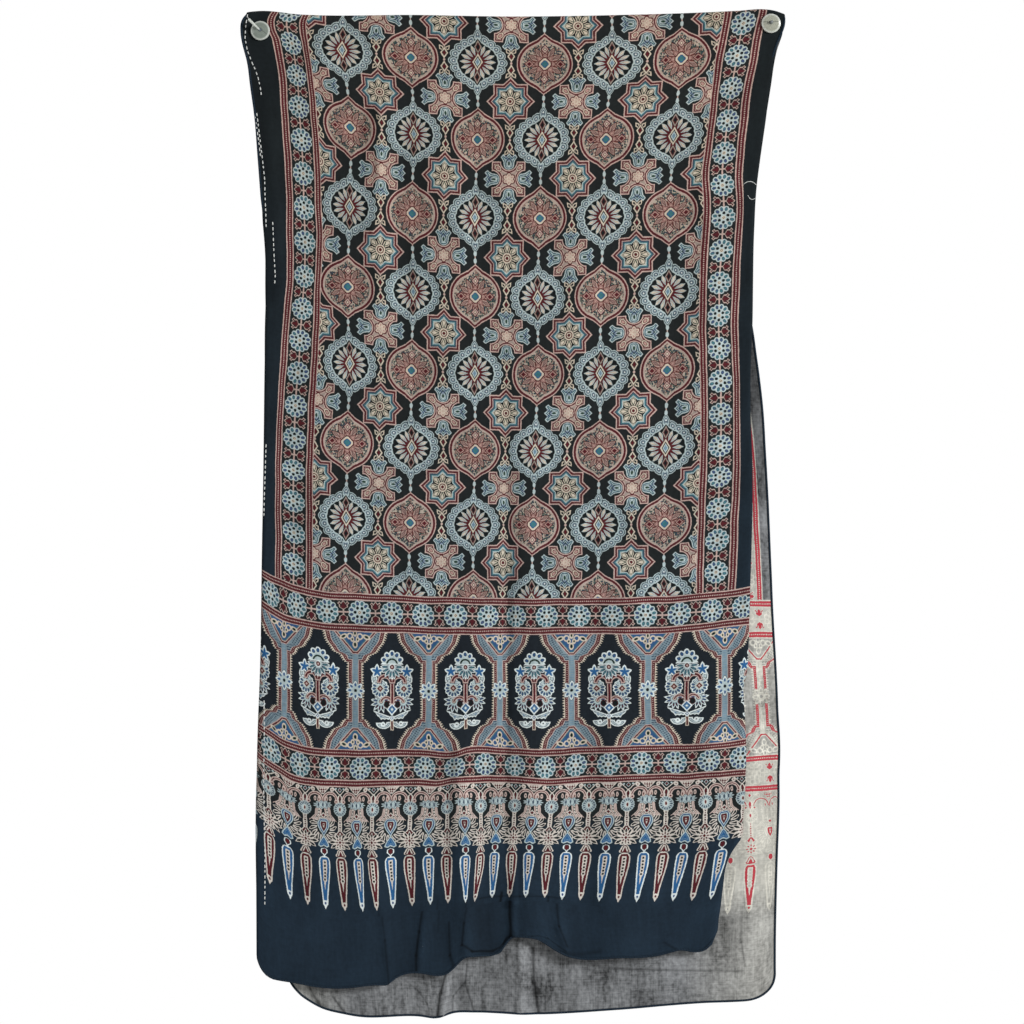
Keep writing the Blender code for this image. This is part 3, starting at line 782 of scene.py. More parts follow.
def resample(path, spacing):
    """Points at even spacings along a path, and how far along it each one lies."""
    gaps_between = np.linalg.norm(np.diff(path, axis=0), axis=1)
    along = np.concatenate([[0], np.cumsum(gaps_between)])
    count = max(int(round(along[-1] / spacing)), 2)
    wanted = np.linspace(0, along[-1], count + 1)
    return np.stack([np.interp(wanted, along, path[:, axis]) for axis in range(3)], -1), wanted


def bead(path, along, radius, sides=8, flat=0.8, taper=3):
    """A round bead along a path: at each point a ring of that radius square to the path, a
    little flatter front to back, with its ends drawn in to closed tips over some stations.
    Returns points, faces and, for each face corner, its places along and around in metres."""
    ahead = np.gradient(path, axis=0)
    ahead /= np.linalg.norm(ahead, axis=1, keepdims=True)
    out = np.array([0.0, -1.0, 0.0])
    side = np.cross(ahead, out)
    side /= np.linalg.norm(side, axis=1, keepdims=True)
    front = np.cross(side, ahead)
    step = np.arange(len(path))
    from_end = np.minimum(step, step[::-1]) / taper
    size = radius * np.sqrt(np.clip(1 - (1 - np.clip(from_end, 0, 1)) ** 2, 0.004, 1))
    turn = np.arange(sides) * 2 * math.pi / sides
    ring = side[:, None] * np.cos(turn)[:, None] + front[:, None] * np.sin(turn)[:, None] * flat
    points = (path[:, None] + ring * size[:, None, None]).reshape(-1, 3)
    index = np.arange(len(points)).reshape(len(path), sides)
    after = np.roll(index, -1, axis=1)
    faces = np.stack([index[:-1], after[:-1], after[1:], index[1:]], axis=-1).reshape(-1, 4)
    caps = [index[0, ::-1].tolist(), index[-1].tolist()]
    around = turn * radius
    here = np.broadcast_to(along[:-1, None], (len(path) - 1, sides))
    there = np.broadcast_to(along[1:, None], here.shape)
    low = np.broadcast_to(around, here.shape)
    high = low + radius * 2 * math.pi / sides
    corners = np.stack([
        np.stack([here, low], -1), np.stack([here, high], -1),
        np.stack([there, high], -1), np.stack([there, low], -1),
    ], axis=2).reshape(-1, 2)
    ends = np.zeros((2 * sides, 2))
    return points, faces.tolist() + caps, np.concatenate([corners, ends])


def threads(name, runs, finish):
    """One piece made of several beads."""
    points, faces, corners, first = [], [], [], 0
    for run_points, run_faces, run_corners in runs:
        points.append(run_points)
        faces += [[corner + first for corner in face] for face in run_faces]
        corners.append(run_corners)
        first += len(run_points)
    mesh = bpy.data.meshes.new(name)
    mesh.from_pydata(np.concatenate(points).tolist(), [], faces)
    layer = mesh.uv_layers.new(name="print")
    layer.data.foreach_set("uv", np.concatenate(corners).astype(np.float32).ravel())
    mesh.shade_smooth()
    mesh.validate()
    return place(name, mesh, finish)


def hem_along(middle, at_outline):
    """The rolled hem of a half: down its left edge, along the end and up its right edge, set in
    by most of its own radius. Where the hem rolls round with a selvedge that is turned under,
    it lies at the outermost point of each row, at the front of what is beside it."""
    left, right, end = middle[:, 0].copy(), middle[:, -1].copy(), middle[-1, 1:-1].copy()
    if at_outline:
        rows = np.arange(len(middle))
        first, last = np.argmin(middle[:, :, 0], axis=1), np.argmax(middle[:, :, 0], axis=1)
        left, right = middle[rows, first].copy(), middle[rows, last].copy()
        end = middle[-1, first[-1] + 1 : last[-1]].copy()
        for side in (left, right):
            beside = np.abs(middle[:, :, 0] - side[:, :1]) < HEM_REACH
            side[:, 1] = np.where(beside, middle[:, :, 1], 0).min(axis=1)
    left[:, 0] += HEM_INSET
    right[:, 0] -= HEM_INSET
    end[:, 2] += HEM_INSET
    path = np.concatenate([left[:-1], end, right[-2::-1]])
    path[:, 1] -= THICKNESS * 0.5
    for _ in range(2):
        path[1:-1] = path[1:-1] * 0.5 + (path[:-2] + path[2:]) * 0.25
    return bead(*resample(path, HEM_SPACING), HEM_RADIUS)


def on_front(places):
    """Points on the front's face, at places given in steps on the photograph's plane."""
    x, y, z, _ = hung_at(FRONT, places[:, 0], places[:, 1])
    return np.stack([x, y - THICKNESS / 2, z], -1)


def margin_stitches(finish):
    """Running stitches: along each run a thread comes up out of the cloth, lies on it for a
    stitch's length in a low bow, and goes down again, over and over."""
    made = []
    for run in STITCH_RUNS:
        places = np.array(run, float)
        down = np.arange(places[0, 1], places[-1, 1] - STITCH_LENGTH, STITCH_PITCH)
        for number, start in enumerate(down):
            length = STITCH_LENGTH * (1 + 0.16 * math.sin(number * 2.3))
            share = np.linspace(0, 1, 7)
            y_steps = start + share * length
            spots = np.stack([np.interp(y_steps, places[:, 1], places[:, 0]), y_steps], -1)
            path = on_front(spots)
            path[:, 1] += 0.25 * MM - 0.6 * MM * np.sin(share * math.pi) ** 0.6
            made.append(bead(path, share * length * STEP, STITCH_RADIUS, sides=6, taper=2))
    return threads("margin_stitches", made, finish)


def loose_threads(finish):
    """Short ends of thread that lie on the right margin."""
    made = []
    for run in LOOSE_THREADS:
        places = np.array(run, float)
        share = np.linspace(0, 1, 13)
        given = np.linspace(0, 1, len(places))
        spots = np.stack([
            curve_through(list(zip(given, places[:, 0])), share),
            curve_through(list(zip(given, places[:, 1])), share),
        ], -1)
        path = on_front(spots)
        path[:, 1] -= THREAD_RADIUS * 0.6 + 0.3 * MM * np.sin(share * 5) ** 2
        made.append(bead(path, share * 0.012, THREAD_RADIUS, sides=6, taper=2))
    return threads("loose_threads", made, finish)


def place(name, mesh, *finishes):
    """A piece of the stole, with its finishes in the order that its faces name them."""
    thing = bpy.data.objects.new(name, mesh)
    bpy.context.scene.collection.objects.link(thing)
    for finish in finishes:
        mesh.materials.append(finish)
    return thing


# The print, drawn with nodes

DYES = {
    # sRGB, as each dye looks on the cloth
    "charcoal": (27, 31, 32), "black": (20, 24, 25), "navy": (26, 39, 51), "night": (21, 27, 30),
    "pink": (172, 150, 143), "pale": (160, 175, 177), "white": (198, 207, 207),
    "cream": (184, 175, 160), "fawn": (140, 130, 122), "shell": (188, 182, 174),
    "blush": (178, 160, 153), "salmon": (156, 126, 119), "dusk": (126, 104, 99),
    "maroon": (74, 28, 33), "rust": (84, 48, 44), "blue": (44, 76, 114), "sky": (98, 124, 142),
    "dusty": (112, 130, 138), "slate": (52, 66, 82), "lagoon": (44, 62, 70), "ink": (25, 31, 37),
    "deep blue": (38, 84, 128), "indigo": (52, 70, 108), "teal": (56, 102, 110),
    "green": (38, 60, 49), "reverse grey": (90, 93, 98), "reverse pale": (192, 190, 180),
    "reverse red": (170, 60, 70), "stitch white": (225, 227, 224), "pin milk": (150, 160, 150),
    "pin cream": (186, 188, 172), "pin pale": (236, 240, 232), "pin grey": (96, 100, 94),
    "pin blue": (96, 110, 130),
}  # fmt: skip


def linear(dye, cover=1.0):
    """A dye's colour, from the sRGB numbers that screens use to linear light, and how far it
    covers."""
    parts = [part / 255 for part in DYES[dye]]
    parts = [part / 12.92 if part < 0.04045 else ((part + 0.055) / 1.055) ** 2.4 for part in parts]
    return (*parts, cover)


class Value:
    """A number that varies over the cloth, as a node gives it, to be reckoned with."""

    def __init__(self, tree, socket):
        self.tree, self.socket = tree, socket

    def __add__(self, other):
        return reckon("ADD", self, other)

    def __sub__(self, other):
        return reckon("SUBTRACT", self, other)

    def __rsub__(self, other):
        return reckon("SUBTRACT", other, self)

    def __mul__(self, other):
        return reckon("MULTIPLY", self, other)

    def __truediv__(self, other):
        return reckon("DIVIDE", self, other)

    def __abs__(self):
        return reckon("ABSOLUTE", self)

    def __neg__(self):
        return reckon("MULTIPLY", self, -1)

    def __gt__(self, other):
        return reckon("GREATER_THAN", self, other)

    def __lt__(self, other):
        return reckon("LESS_THAN", self, other)

    __radd__, __rmul__ = __add__, __mul__


def feed(tree, item, socket):
    """Joins a value or another node's socket to a socket, or sets a plain number or colour."""
    if isinstance(item, Value):
        item = item.socket
    if isinstance(item, bpy.types.NodeSocket):
        tree.links.new(item, socket)
    else:
        socket.default_value = item


def reckon(operation, *items):
    """One sum on values and plain numbers."""
    tree = next(item.tree for item in items if isinstance(item, Value))
    node = tree.nodes.new("ShaderNodeMath")
    node.operation = operation
    for socket, item in zip(node.inputs, items):
        feed(tree, item, socket)
    return Value(tree, node.outputs[0])


def least(first, *others):
    for other in others:
        first = reckon("MINIMUM", first, other)
    return first


def most(first, *others):
    for other in others:
        first = reckon("MAXIMUM", first, other)
    return first


def centred(at, pitch):
    """Counted from the nearest of the marks that lie a pitch apart, plus past it."""
    return reckon("WRAP", at, pitch / 2, -pitch / 2)


def nearest(at, pitch):
    """How far the nearest of the marks that lie a pitch apart is."""
    return reckon("PINGPONG", at, pitch / 2)


def clamp(value):
    """Kept between 0 and 1."""
    return least(most(value, 0), 1)


def join(x, y):
    """The socket of the point (x, y)."""
    node = x.tree.nodes.new("ShaderNodeCombineXYZ")
    feed(x.tree, x, node.inputs[0])
    feed(x.tree, y, node.inputs[1])
    return node.outputs[0]


def split(tree, socket, kind="XYZ"):
    """The three parts of a point or, with Color as the kind, of a colour."""
    node = tree.nodes.new("ShaderNodeSeparate" + kind)
    tree.links.new(socket, node.inputs[0])
    return [Value(tree, part) for part in node.outputs]


def length(x, y):
    """How far the point (x, y) is from the middle."""
    measure = x.tree.nodes.new("ShaderNodeVectorMath")
    measure.operation = "LENGTH"
    x.tree.links.new(join(x, y), measure.inputs[0])
    return Value(x.tree, measure.outputs["Value"])


def angle(x, y):
    """Which way the point (x, y) lies from the middle."""
    return reckon("ARCTAN2", y, x)


def polar(x, y):
    """How far the point (x, y) is from the middle, and which way."""
    return length(x, y), angle(x, y)


def noise(tree, places, scale, detail=2.0, flat=False):
    """A noise over the given places, on a plane where flat. Returns its node."""
    node = tree.nodes.new("ShaderNodeTexNoise")
    node.noise_dimensions = "2D" if flat else "3D"
    node.inputs["Scale"].default_value = scale
    node.inputs["Detail"].default_value = detail
    tree.links.new(places, node.inputs["Vector"])
    return node


def mottle(tree, places, scale, detail=2.0, flat=False):
    """The same noise as a value from 0 to 1."""
    outputs = noise(tree, places, scale, detail, flat).outputs
    return Value(tree, outputs["Factor" if "Factor" in outputs else "Fac"])


def oval(x, y, across, down=None):
    """How far inside an oval about the middle a place is, by its half sizes."""
    down = down or across
    return (1 - length(x / across, y / down)) * min(across, down)


def diamond(x, y, across, down):
    """How far inside a diamond: one less the two shares of its half sizes, by its slant."""
    slant = across * down / math.hypot(across, down)
    return (1 - abs(x) / across - abs(y) / down) * slant


def outline(at, table, sharp=False):
    """Reads a table of (place, half-width) pairs, as a curve or, where sharp, straight lines."""
    tree = at.tree
    reach = max(place for place, _ in table)
    top = max(size for _, size in table)
    node = tree.nodes.new("ShaderNodeFloatCurve")
    curve = node.mapping.curves[0]
    points = [(place / reach, size / top) for place, size in table]
    curve.points[0].location, curve.points[1].location = points[0], points[-1]
    for place, size in points[1:-1]:
        curve.points.new(place, size)
    for point in curve.points:
        point.handle_type = "VECTOR" if sharp else "AUTO_CLAMPED"
    node.mapping.use_clip = True
    node.mapping.update()
    feed(tree, at / reach, node.inputs["Value"])
    return Value(tree, node.outputs[0]) * top


def petals(reach, turn, count, tip, valley, power=2.0, start=0.0):
    """How far inside a ring of petals. With the share of the way from a petal's middle to the
    next gap, the petal's edge lies at the valley plus the rest times one less that share to a
    power: 1 gives points and 2 scallops."""
    share = reckon("PINGPONG", turn + start, math.pi / count) * (count / math.pi)
    if power != 1:
        share = reckon("POWER", share, power)
    return (1 - share) * (tip - valley) + valley - reach


def gaps(reach, turn, count, start=0.0):
    """How far a place is from the gap between two petals, along the ring."""
    share = reckon("PINGPONG", turn + start, math.pi / count)
    return (math.pi / count - share) * reach


def ring_spots(reach, turn, count, ring, along, out, start=0.0):
    """How far inside one of the spots that stand on a ring, one in each petal."""
    side = reckon("PINGPONG", turn + start, math.pi / count) * reach
    return oval(side, reach - ring, along, out)


class Printing:
    """A print in the making: the tree that it is drawn in, and the colour laid so far."""

    def __init__(self, tree, ground):
        self.tree = tree
        self.colour = linear(ground)

    def lay(self, inside, *bands, where=None, soft=0.45):
        """Prints bands one inside another on what is there. inside is how far a place is inside
        the outline, in steps. The bands are given as a dye and its width, counted inwards from
        the outline, a dye and its width and so on, and the last dye fills the rest."""
        dyes, edges = bands[::2], [0.0, *np.cumsum(bands[1::2])]
        reach = edges[-1] + 2 * soft
        node = self.tree.nodes.new("ShaderNodeValToRGB")
        stops = node.color_ramp.elements
        last = linear(dyes[0], 0.0)
        marks = []
        for edge, dye in zip(edges, dyes):
            own = linear(dye)
            marks += [(edge, last), (edge + soft, own)]
            last = own
        stops[0].position, stops[1].position = 0.0, 1.0
        stops[0].color = marks[0][1]
        stops[1].color = last
        for place, colour in marks[1:]:
            stop = stops.new(min(place / reach, 0.999))
            stop.color = colour
        feed(self.tree, (inside + soft / 2) / reach, node.inputs[0])
        share = Value(self.tree, node.outputs["Alpha"])
        if where is not None:
            share = share * where
        self.blend(share, node.outputs["Color"])

    def blend(self, share, colour):
        """Mixes a colour in by a share."""
        mix = self.tree.nodes.new("ShaderNodeMix")
        mix.data_type = "RGBA"
        feed(self.tree, share, mix.inputs["Factor"])
        feed(self.tree, self.colour, mix.inputs[6])
        feed(self.tree, colour, mix.inputs[7])
        self.colour = mix.outputs[2]


def new_group(name, inputs, outputs):
    """An empty node group with the given outputs, whose inputs are numbers with their starting
    values, or a colour where that is None."""
    group = bpy.data.node_groups.new(name, "ShaderNodeTree")
    for socket, start in inputs.items():
        kind = "NodeSocketColor" if start is None else "NodeSocketFloat"
        made = group.interface.new_socket(socket, in_out="INPUT", socket_type=kind)
        if start is not None:
            made.default_value = start
    for socket, kind in outputs.items():
        group.interface.new_socket(socket, in_out="OUTPUT", socket_type=f"NodeSocket{kind}")
    entry = group.nodes.new("NodeGroupInput")
    return group, [Value(group, entry.outputs[socket]) for socket in inputs]


def close_group(group, *results):
    """Joins the results to the group's outputs, in their order."""
    end = group.nodes.new("NodeGroupOutput")
    for socket, result in zip(end.inputs, results):
        feed(group, result, socket)
    return group


def use_group(tree, group, *items):
    """Places a group in a tree with its own values, and returns the node."""
    node = tree.nodes.new("ShaderNodeGroup")
    node.node_tree = group
    for socket, item in zip(node.inputs, items):
        feed(tree, item, socket)
    return node


def roundel_border():
    """A row of roundels with leaf pairs between them, and a dotted stripe along each side. A
    roundel is at every 33 steps along, and the stripes lie the half width off its middle."""
    group, (along, off, half) = new_group(
        "Roundel border", {"Along": 0, "Offset": 0, "Half width": 15.5}, {"Color": "Color"}
    )
    drawn = Printing(group, "charcoal")
    lay = drawn.lay
    x, y = centred(along, ROUNDEL_PITCH), off
    lay(0.7 - abs(y), "pink", soft=0.4)
    # Leaf pairs, halfway between the roundels
    from_leaf, up = centred(along + ROUNDEL_PITCH / 2, ROUNDEL_PITCH), abs(y)
    sides = ((0, 0.9), (2, 0.7), (3.6, 2.6), (5.2, 4.4), (7, 4.3), (8.4, 5.9), (12, 6.2))
    width = outline(up, sides)
    crown = 11.4 - nearest(from_leaf, 3.9) * 1.15 - (abs(from_leaf) > 2) * 0.9
    leaf = least(width - abs(from_leaf), crown - up)
    lay(leaf, "fawn", 0.25, "pink", 0.85, "charcoal", 0.3, "maroon")
    lay(oval(abs(from_leaf) - 1.9, up - 7.4, 0.6, 1.7), "charcoal", where=leaf > 1.6)
    # Roundels: a scalloped disc with twelve outer and six inner eyes
    reach, turn = polar(x, y)
    lay(petals(reach, turn, 12, 11.7, 10.3, 2, math.pi / 12), "pale")
    eyes = ring_spots(reach, turn, 12, 8.7, 1.5, 2.1, math.pi / 12)
    tint = reckon("SINE", turn * 3 + along * 0.4)
    lay(eyes, "slate", 0.7, "indigo", where=tint > 0)
    lay(eyes, "slate", 0.5, "teal", where=tint < 0)
    lay(ring_spots(reach, turn, 6, 4.7, 1.5, 1.5), "black")
    lay(oval(x, y, 1.9), "cream", 0.8, "charcoal", 0.5, "cream", soft=0.3)
    # The stripes
    over = abs(off) - half
    lay(3.8 - abs(over), "pink", 1.15, "maroon")
    dots = length(centred(along, 1.94), over)
    lay(0.6 - dots, "pink")
    return close_group(group, drawn.colour)


RED_OGEE = ((0, 28.4), (0.18, 28.2), (0.38, 27.6), (0.53, 27.2), (0.68, 26.8), (0.8, 27.1),
            (0.89, 28.8), (0.95, 30.4), (1.0, 32.0))  # fmt: skip
BLUE_OGEE = ((0, 29.0), (0.22, 28.3), (0.44, 27.1), (0.61, 26.3), (0.76, 26.2), (0.87, 28),
             (0.95, 31), (1.0, 33.2))  # fmt: skip
TULIP = ((9.5, 0.1), (10.8, 3.6), (12.5, 5.0), (15.5, 5.6), (18, 6.2), (20, 7.4), (22.5, 9.0),
         (26, 9.4))  # fmt: skip


def field_print():
    """The field: red and blue ogee medallions in turn, with stars and cross-shaped flowers in
    turn at their corners, and sprigs and beads that join them."""
    group, (across, down) = new_group("Field print", {"Across": 0, "Down": 0}, {"Color": "Color"})
    drawn = Printing(group, "charcoal")
    lay = drawn.lay
    column = (across - FIRST_MEDALLION[0]) / MEDALLION_ACROSS
    row = (FIRST_MEDALLION[1] - down) / MEDALLION_DOWN
    x, y = centred(column, 1) * MEDALLION_ACROSS, centred(row, 1) * MEDALLION_DOWN
    corner_x = centred(column - 0.5, 1) * MEDALLION_ACROSS
    corner_y = centred(row - 0.5, 1) * MEDALLION_DOWN
    place = reckon("FLOOR", column + 0.5) + reckon("FLOOR", row + 0.5)
    red = reckon("MODULO", place + 40, 2) < 0.5
    corner = reckon("FLOOR", column) + reckon("FLOOR", row)
    star = reckon("MODULO", corner + 40, 2) < 0.5

    # The joins between motifs: sprigs beside the medallions, and beads above and below
    off, to_dot = abs(corner_x), MEDALLION_DOWN / 2 - abs(corner_y)
    lay(least(0.55 - off, 16.4 - to_dot), "cream")
    lean = (to_dot - 12.4) * 0.8 + (off - 3.1) * 0.6
    leaf = diamond((off - 3.1) * 0.8 - (to_dot - 12.4) * 0.6, lean, 2.3, 3.9)
    lay(leaf, "cream", 0.9, "charcoal")
    bud = diamond(off, to_dot - 7.2, 3.9, 5.9) + 0.5
    lay(bud, "charcoal", 0.5, "cream", 1.2, "charcoal", 0.4, "maroon")
    lay(oval(off, to_dot, 1.2), "pink")
    lay(0.5 - abs(x), "pink", where=abs(y) > 30)
    lay(oval(x, MEDALLION_DOWN / 2 - abs(y) - 3.7, 1.6, 2.7), "pale")

    # Stars: two squares, one turned, round eight petals
    flat_x, flat_y = abs(corner_x), abs(corner_y)
    squares = least(most(flat_x, flat_y), (flat_x + flat_y) * math.sqrt(0.5))
    reach, turn = polar(corner_x, corner_y)
    star_bands = (
        "pink", 1.2, "maroon", 2.0, "pink", 0.8, "slate", 1.3, "teal", 1.1,
        "pale", 0.9, "black",
    )  # fmt: skip
    lay(17.8 - squares, *star_bands, where=star)
    petal = least(petals(reach, turn, 8, 14.6, 7.6, 1.2), gaps(reach, turn, 8) - 0.7)
    lay(petal, "cream", 0.9, "green", 0.9, "cream", where=star)
    lay(5.6 - reach, "black", 0.5, "cream", where=star)
    centre_bands = ("rust", 1.1, "cream", 1.0, "maroon")
    lay(oval(corner_x, corner_y, 3.7), *centre_bands, where=star, soft=0.35)

    # Cross-shaped flowers: four leaves cut out by four tulips
    flower = 1 - star
    far, near = most(flat_x, flat_y), least(flat_x, flat_y)
    leaf = least(17.6 - far, length(far - 17.5, near) - 8.4)
    lay(leaf, "pink", 1.1, "maroon", 1.3, "pink", 0.9, "fawn", where=flower)
    bud = length((far + near - 22.4) * 0.62, far - near)
    lay(4.0 - bud, "rust", 0.6, "cream", 1.0, "maroon", 0.7, "salmon", where=flower)
    rosette = petals(reach, turn, 6, 7.2, 5.2, 2, math.pi / 6)
    lay(rosette, "maroon", 1.1, "salmon", where=flower)
    shift = math.pi / 6
    spokes = least(petals(reach, turn, 6, 5.9, 4.2, 1, shift), gaps(reach, turn, 6, shift) - 0.2)
    lay(spokes, "cream", 0.8, "salmon", where=flower, soft=0.3)
    front = 26.0 - nearest(near, 6.4) * 0.95 - near * 0.16
    tulip = least(outline(far, TULIP) - near, (front - far) * 0.75, far - 9.6)
    tulip_bands = (
        "pale", 1.1, "slate", 0.7, "teal", 0.5, "pale", 0.6, "lagoon",
    )  # fmt: skip
    lay(tulip, *tulip_bands, where=flower)
    lay(oval(near, far - 15.6, 2.1, 3.8), "pale", 0.9, "green", where=flower)
    spread = least(0.8 - abs(near - (far - 18.5) * 0.72 - 0.6), far - 17.5, 23.5 - far)
    lay(spread, "indigo", where=flower * 0.6)

    # Medallions
    reach, turn = length(x, y), angle(abs(x), abs(y))
    quarter = turn * (2 / math.pi)
    edge = outline(quarter, RED_OGEE) - reach
    lay(edge * 0.95, "pink", 1.0, "maroon", 2.2, "pink", 0.8, "fawn", where=red)
    lay(edge - 4.5, "cream", where=red * 0.35, soft=0.8)
    specks = group.nodes.new("ShaderNodeTexVoronoi")
    specks.voronoi_dimensions = "2D"
    group.links.new(join(across, down), specks.inputs["Vector"])
    specks.inputs["Scale"].default_value = 0.56
    specks.inputs["Randomness"].default_value = 0.7
    speck = 0.5 - Value(group, specks.outputs["Distance"])
    cool = split(group, specks.outputs["Color"], "Color")[0]
    on_ground = red * (edge > 5.4)
    for edge_dye, dye, chosen, soft in (
        ("green", "lagoon", cool > 0.68, 0.5),
        ("charcoal", "slate", cool < 0.26, 0.5),
        ("rust", "dusk", abs(cool - 0.47) < 0.13, 0.45),
    ):
        lay(speck * 2.2, edge_dye, 0.3, dye, where=on_ground * chosen, soft=soft)
    full = angle(x, y)
    petal = least(petals(reach, full, 12, 19.6, 12.0, 1.0), gaps(reach, full, 12))
    lay(petals(reach, full, 12, 20.6, 12.8, 1.0), "charcoal", 0.7, "rust", where=red)
    lay(petal - 0.8, "salmon", 0.8, "fawn", 0.6, "maroon", 0.5, "dusk", where=red)
    inner = least(petals(reach, full, 8, 12.2, 8.0, 1.0), gaps(reach, full, 8) + 0.4)
    lay(inner, "maroon", 0.9, "salmon", 0.9, "rust", 0.5, "salmon", where=red)
    sides = diamond(abs(x) - 15.8, y, 5.4, 4.8)
    lay(sides, "maroon", 0.9, "salmon", 0.9, "maroon", where=red)
    ends = diamond(x, abs(y) - 15.8, 4.6, 5.2)
    lay(ends, "maroon", 0.9, "pink", 1.0, "rust", 0.6, "cream", where=red)
    centre = (6.6 - most(abs(x) * 0.75 + abs(y) * 0.75, length(x, y) * 0.9)) * 0.9
    middle_bands = ("maroon", 1.0, "cream", 1.6, "slate", 0.4, "deep blue", 0.6, "teal")
    lay(centre, *middle_bands, where=red, soft=0.35)

    # The blue medallion's ring is measured by the share of the way out to its edge
    blue = 1 - red
    size = outline(quarter, BLUE_OGEE)
    share = reach / size
    out = 28.0
    beads = reckon("PINGPONG", full, math.pi / 20) * reach
    bead = length(beads, (share - 0.855) * out)
    band = 3.0 - abs(share - 0.85) * out
    lay(most(band, 5.2 - bead), "pale", 0.8, "lagoon", where=blue)
    lay(3.4 - bead, "pale", 0.8, "dusty", 0.9, "slate", 0.9, "white", where=blue)
    inner = (0.74 - share) * out - 0.35 * (bead - 4)
    lay(inner + 0.3, "pale", 0.9, "black", where=blue)
    petal = least(petals(reach, full, 16, 18.6, 12.6, 1.0), gaps(reach, full, 16) - 0.75)
    lay(petal, "pale", 0.8, "fawn", 0.5, "cream", where=blue * (reach > 7))
    root = (12.5 - reach) * 0.16 + 0.5 - gaps(reach, full, 16)
    lay(root, "maroon", where=blue * (reach < 14))
    spear = diamond(x, abs(y) - 15.6, 4.4, 8.0)
    lay(spear, "charcoal", 0.6, "fawn", 0.9, "maroon", 0.9, "black", where=blue)
    lozenge = most(diamond(x, y, 6.2, 10.2), oval(x, y, 4.7, 6.2))
    lozenge_bands = ("maroon", 0.6, "cream", 1.3, "charcoal", 0.9, "pale", 0.9, "sky")
    lay(lozenge, *lozenge_bands, where=blue, soft=0.35)
    return close_group(group, drawn.colour)


# How much narrower than their repeats the panel and the lace are drawn
PANEL_SCALE = 0.977
LACE_SCALE = 0.94
# The panel's frame by distance from its middle: where the slanting lobes reach
LOBES = ((26, 0.5), (27, 10.4), (28.6, 13.6), (31, 15.6), (33.6, 16.8), (35.4, 20), (37.6, 24.4),
         (40, 26.2), (43, 28), (46, 30.6), (50, 32.6), (54, 33.6), (58, 34.8))  # fmt: skip


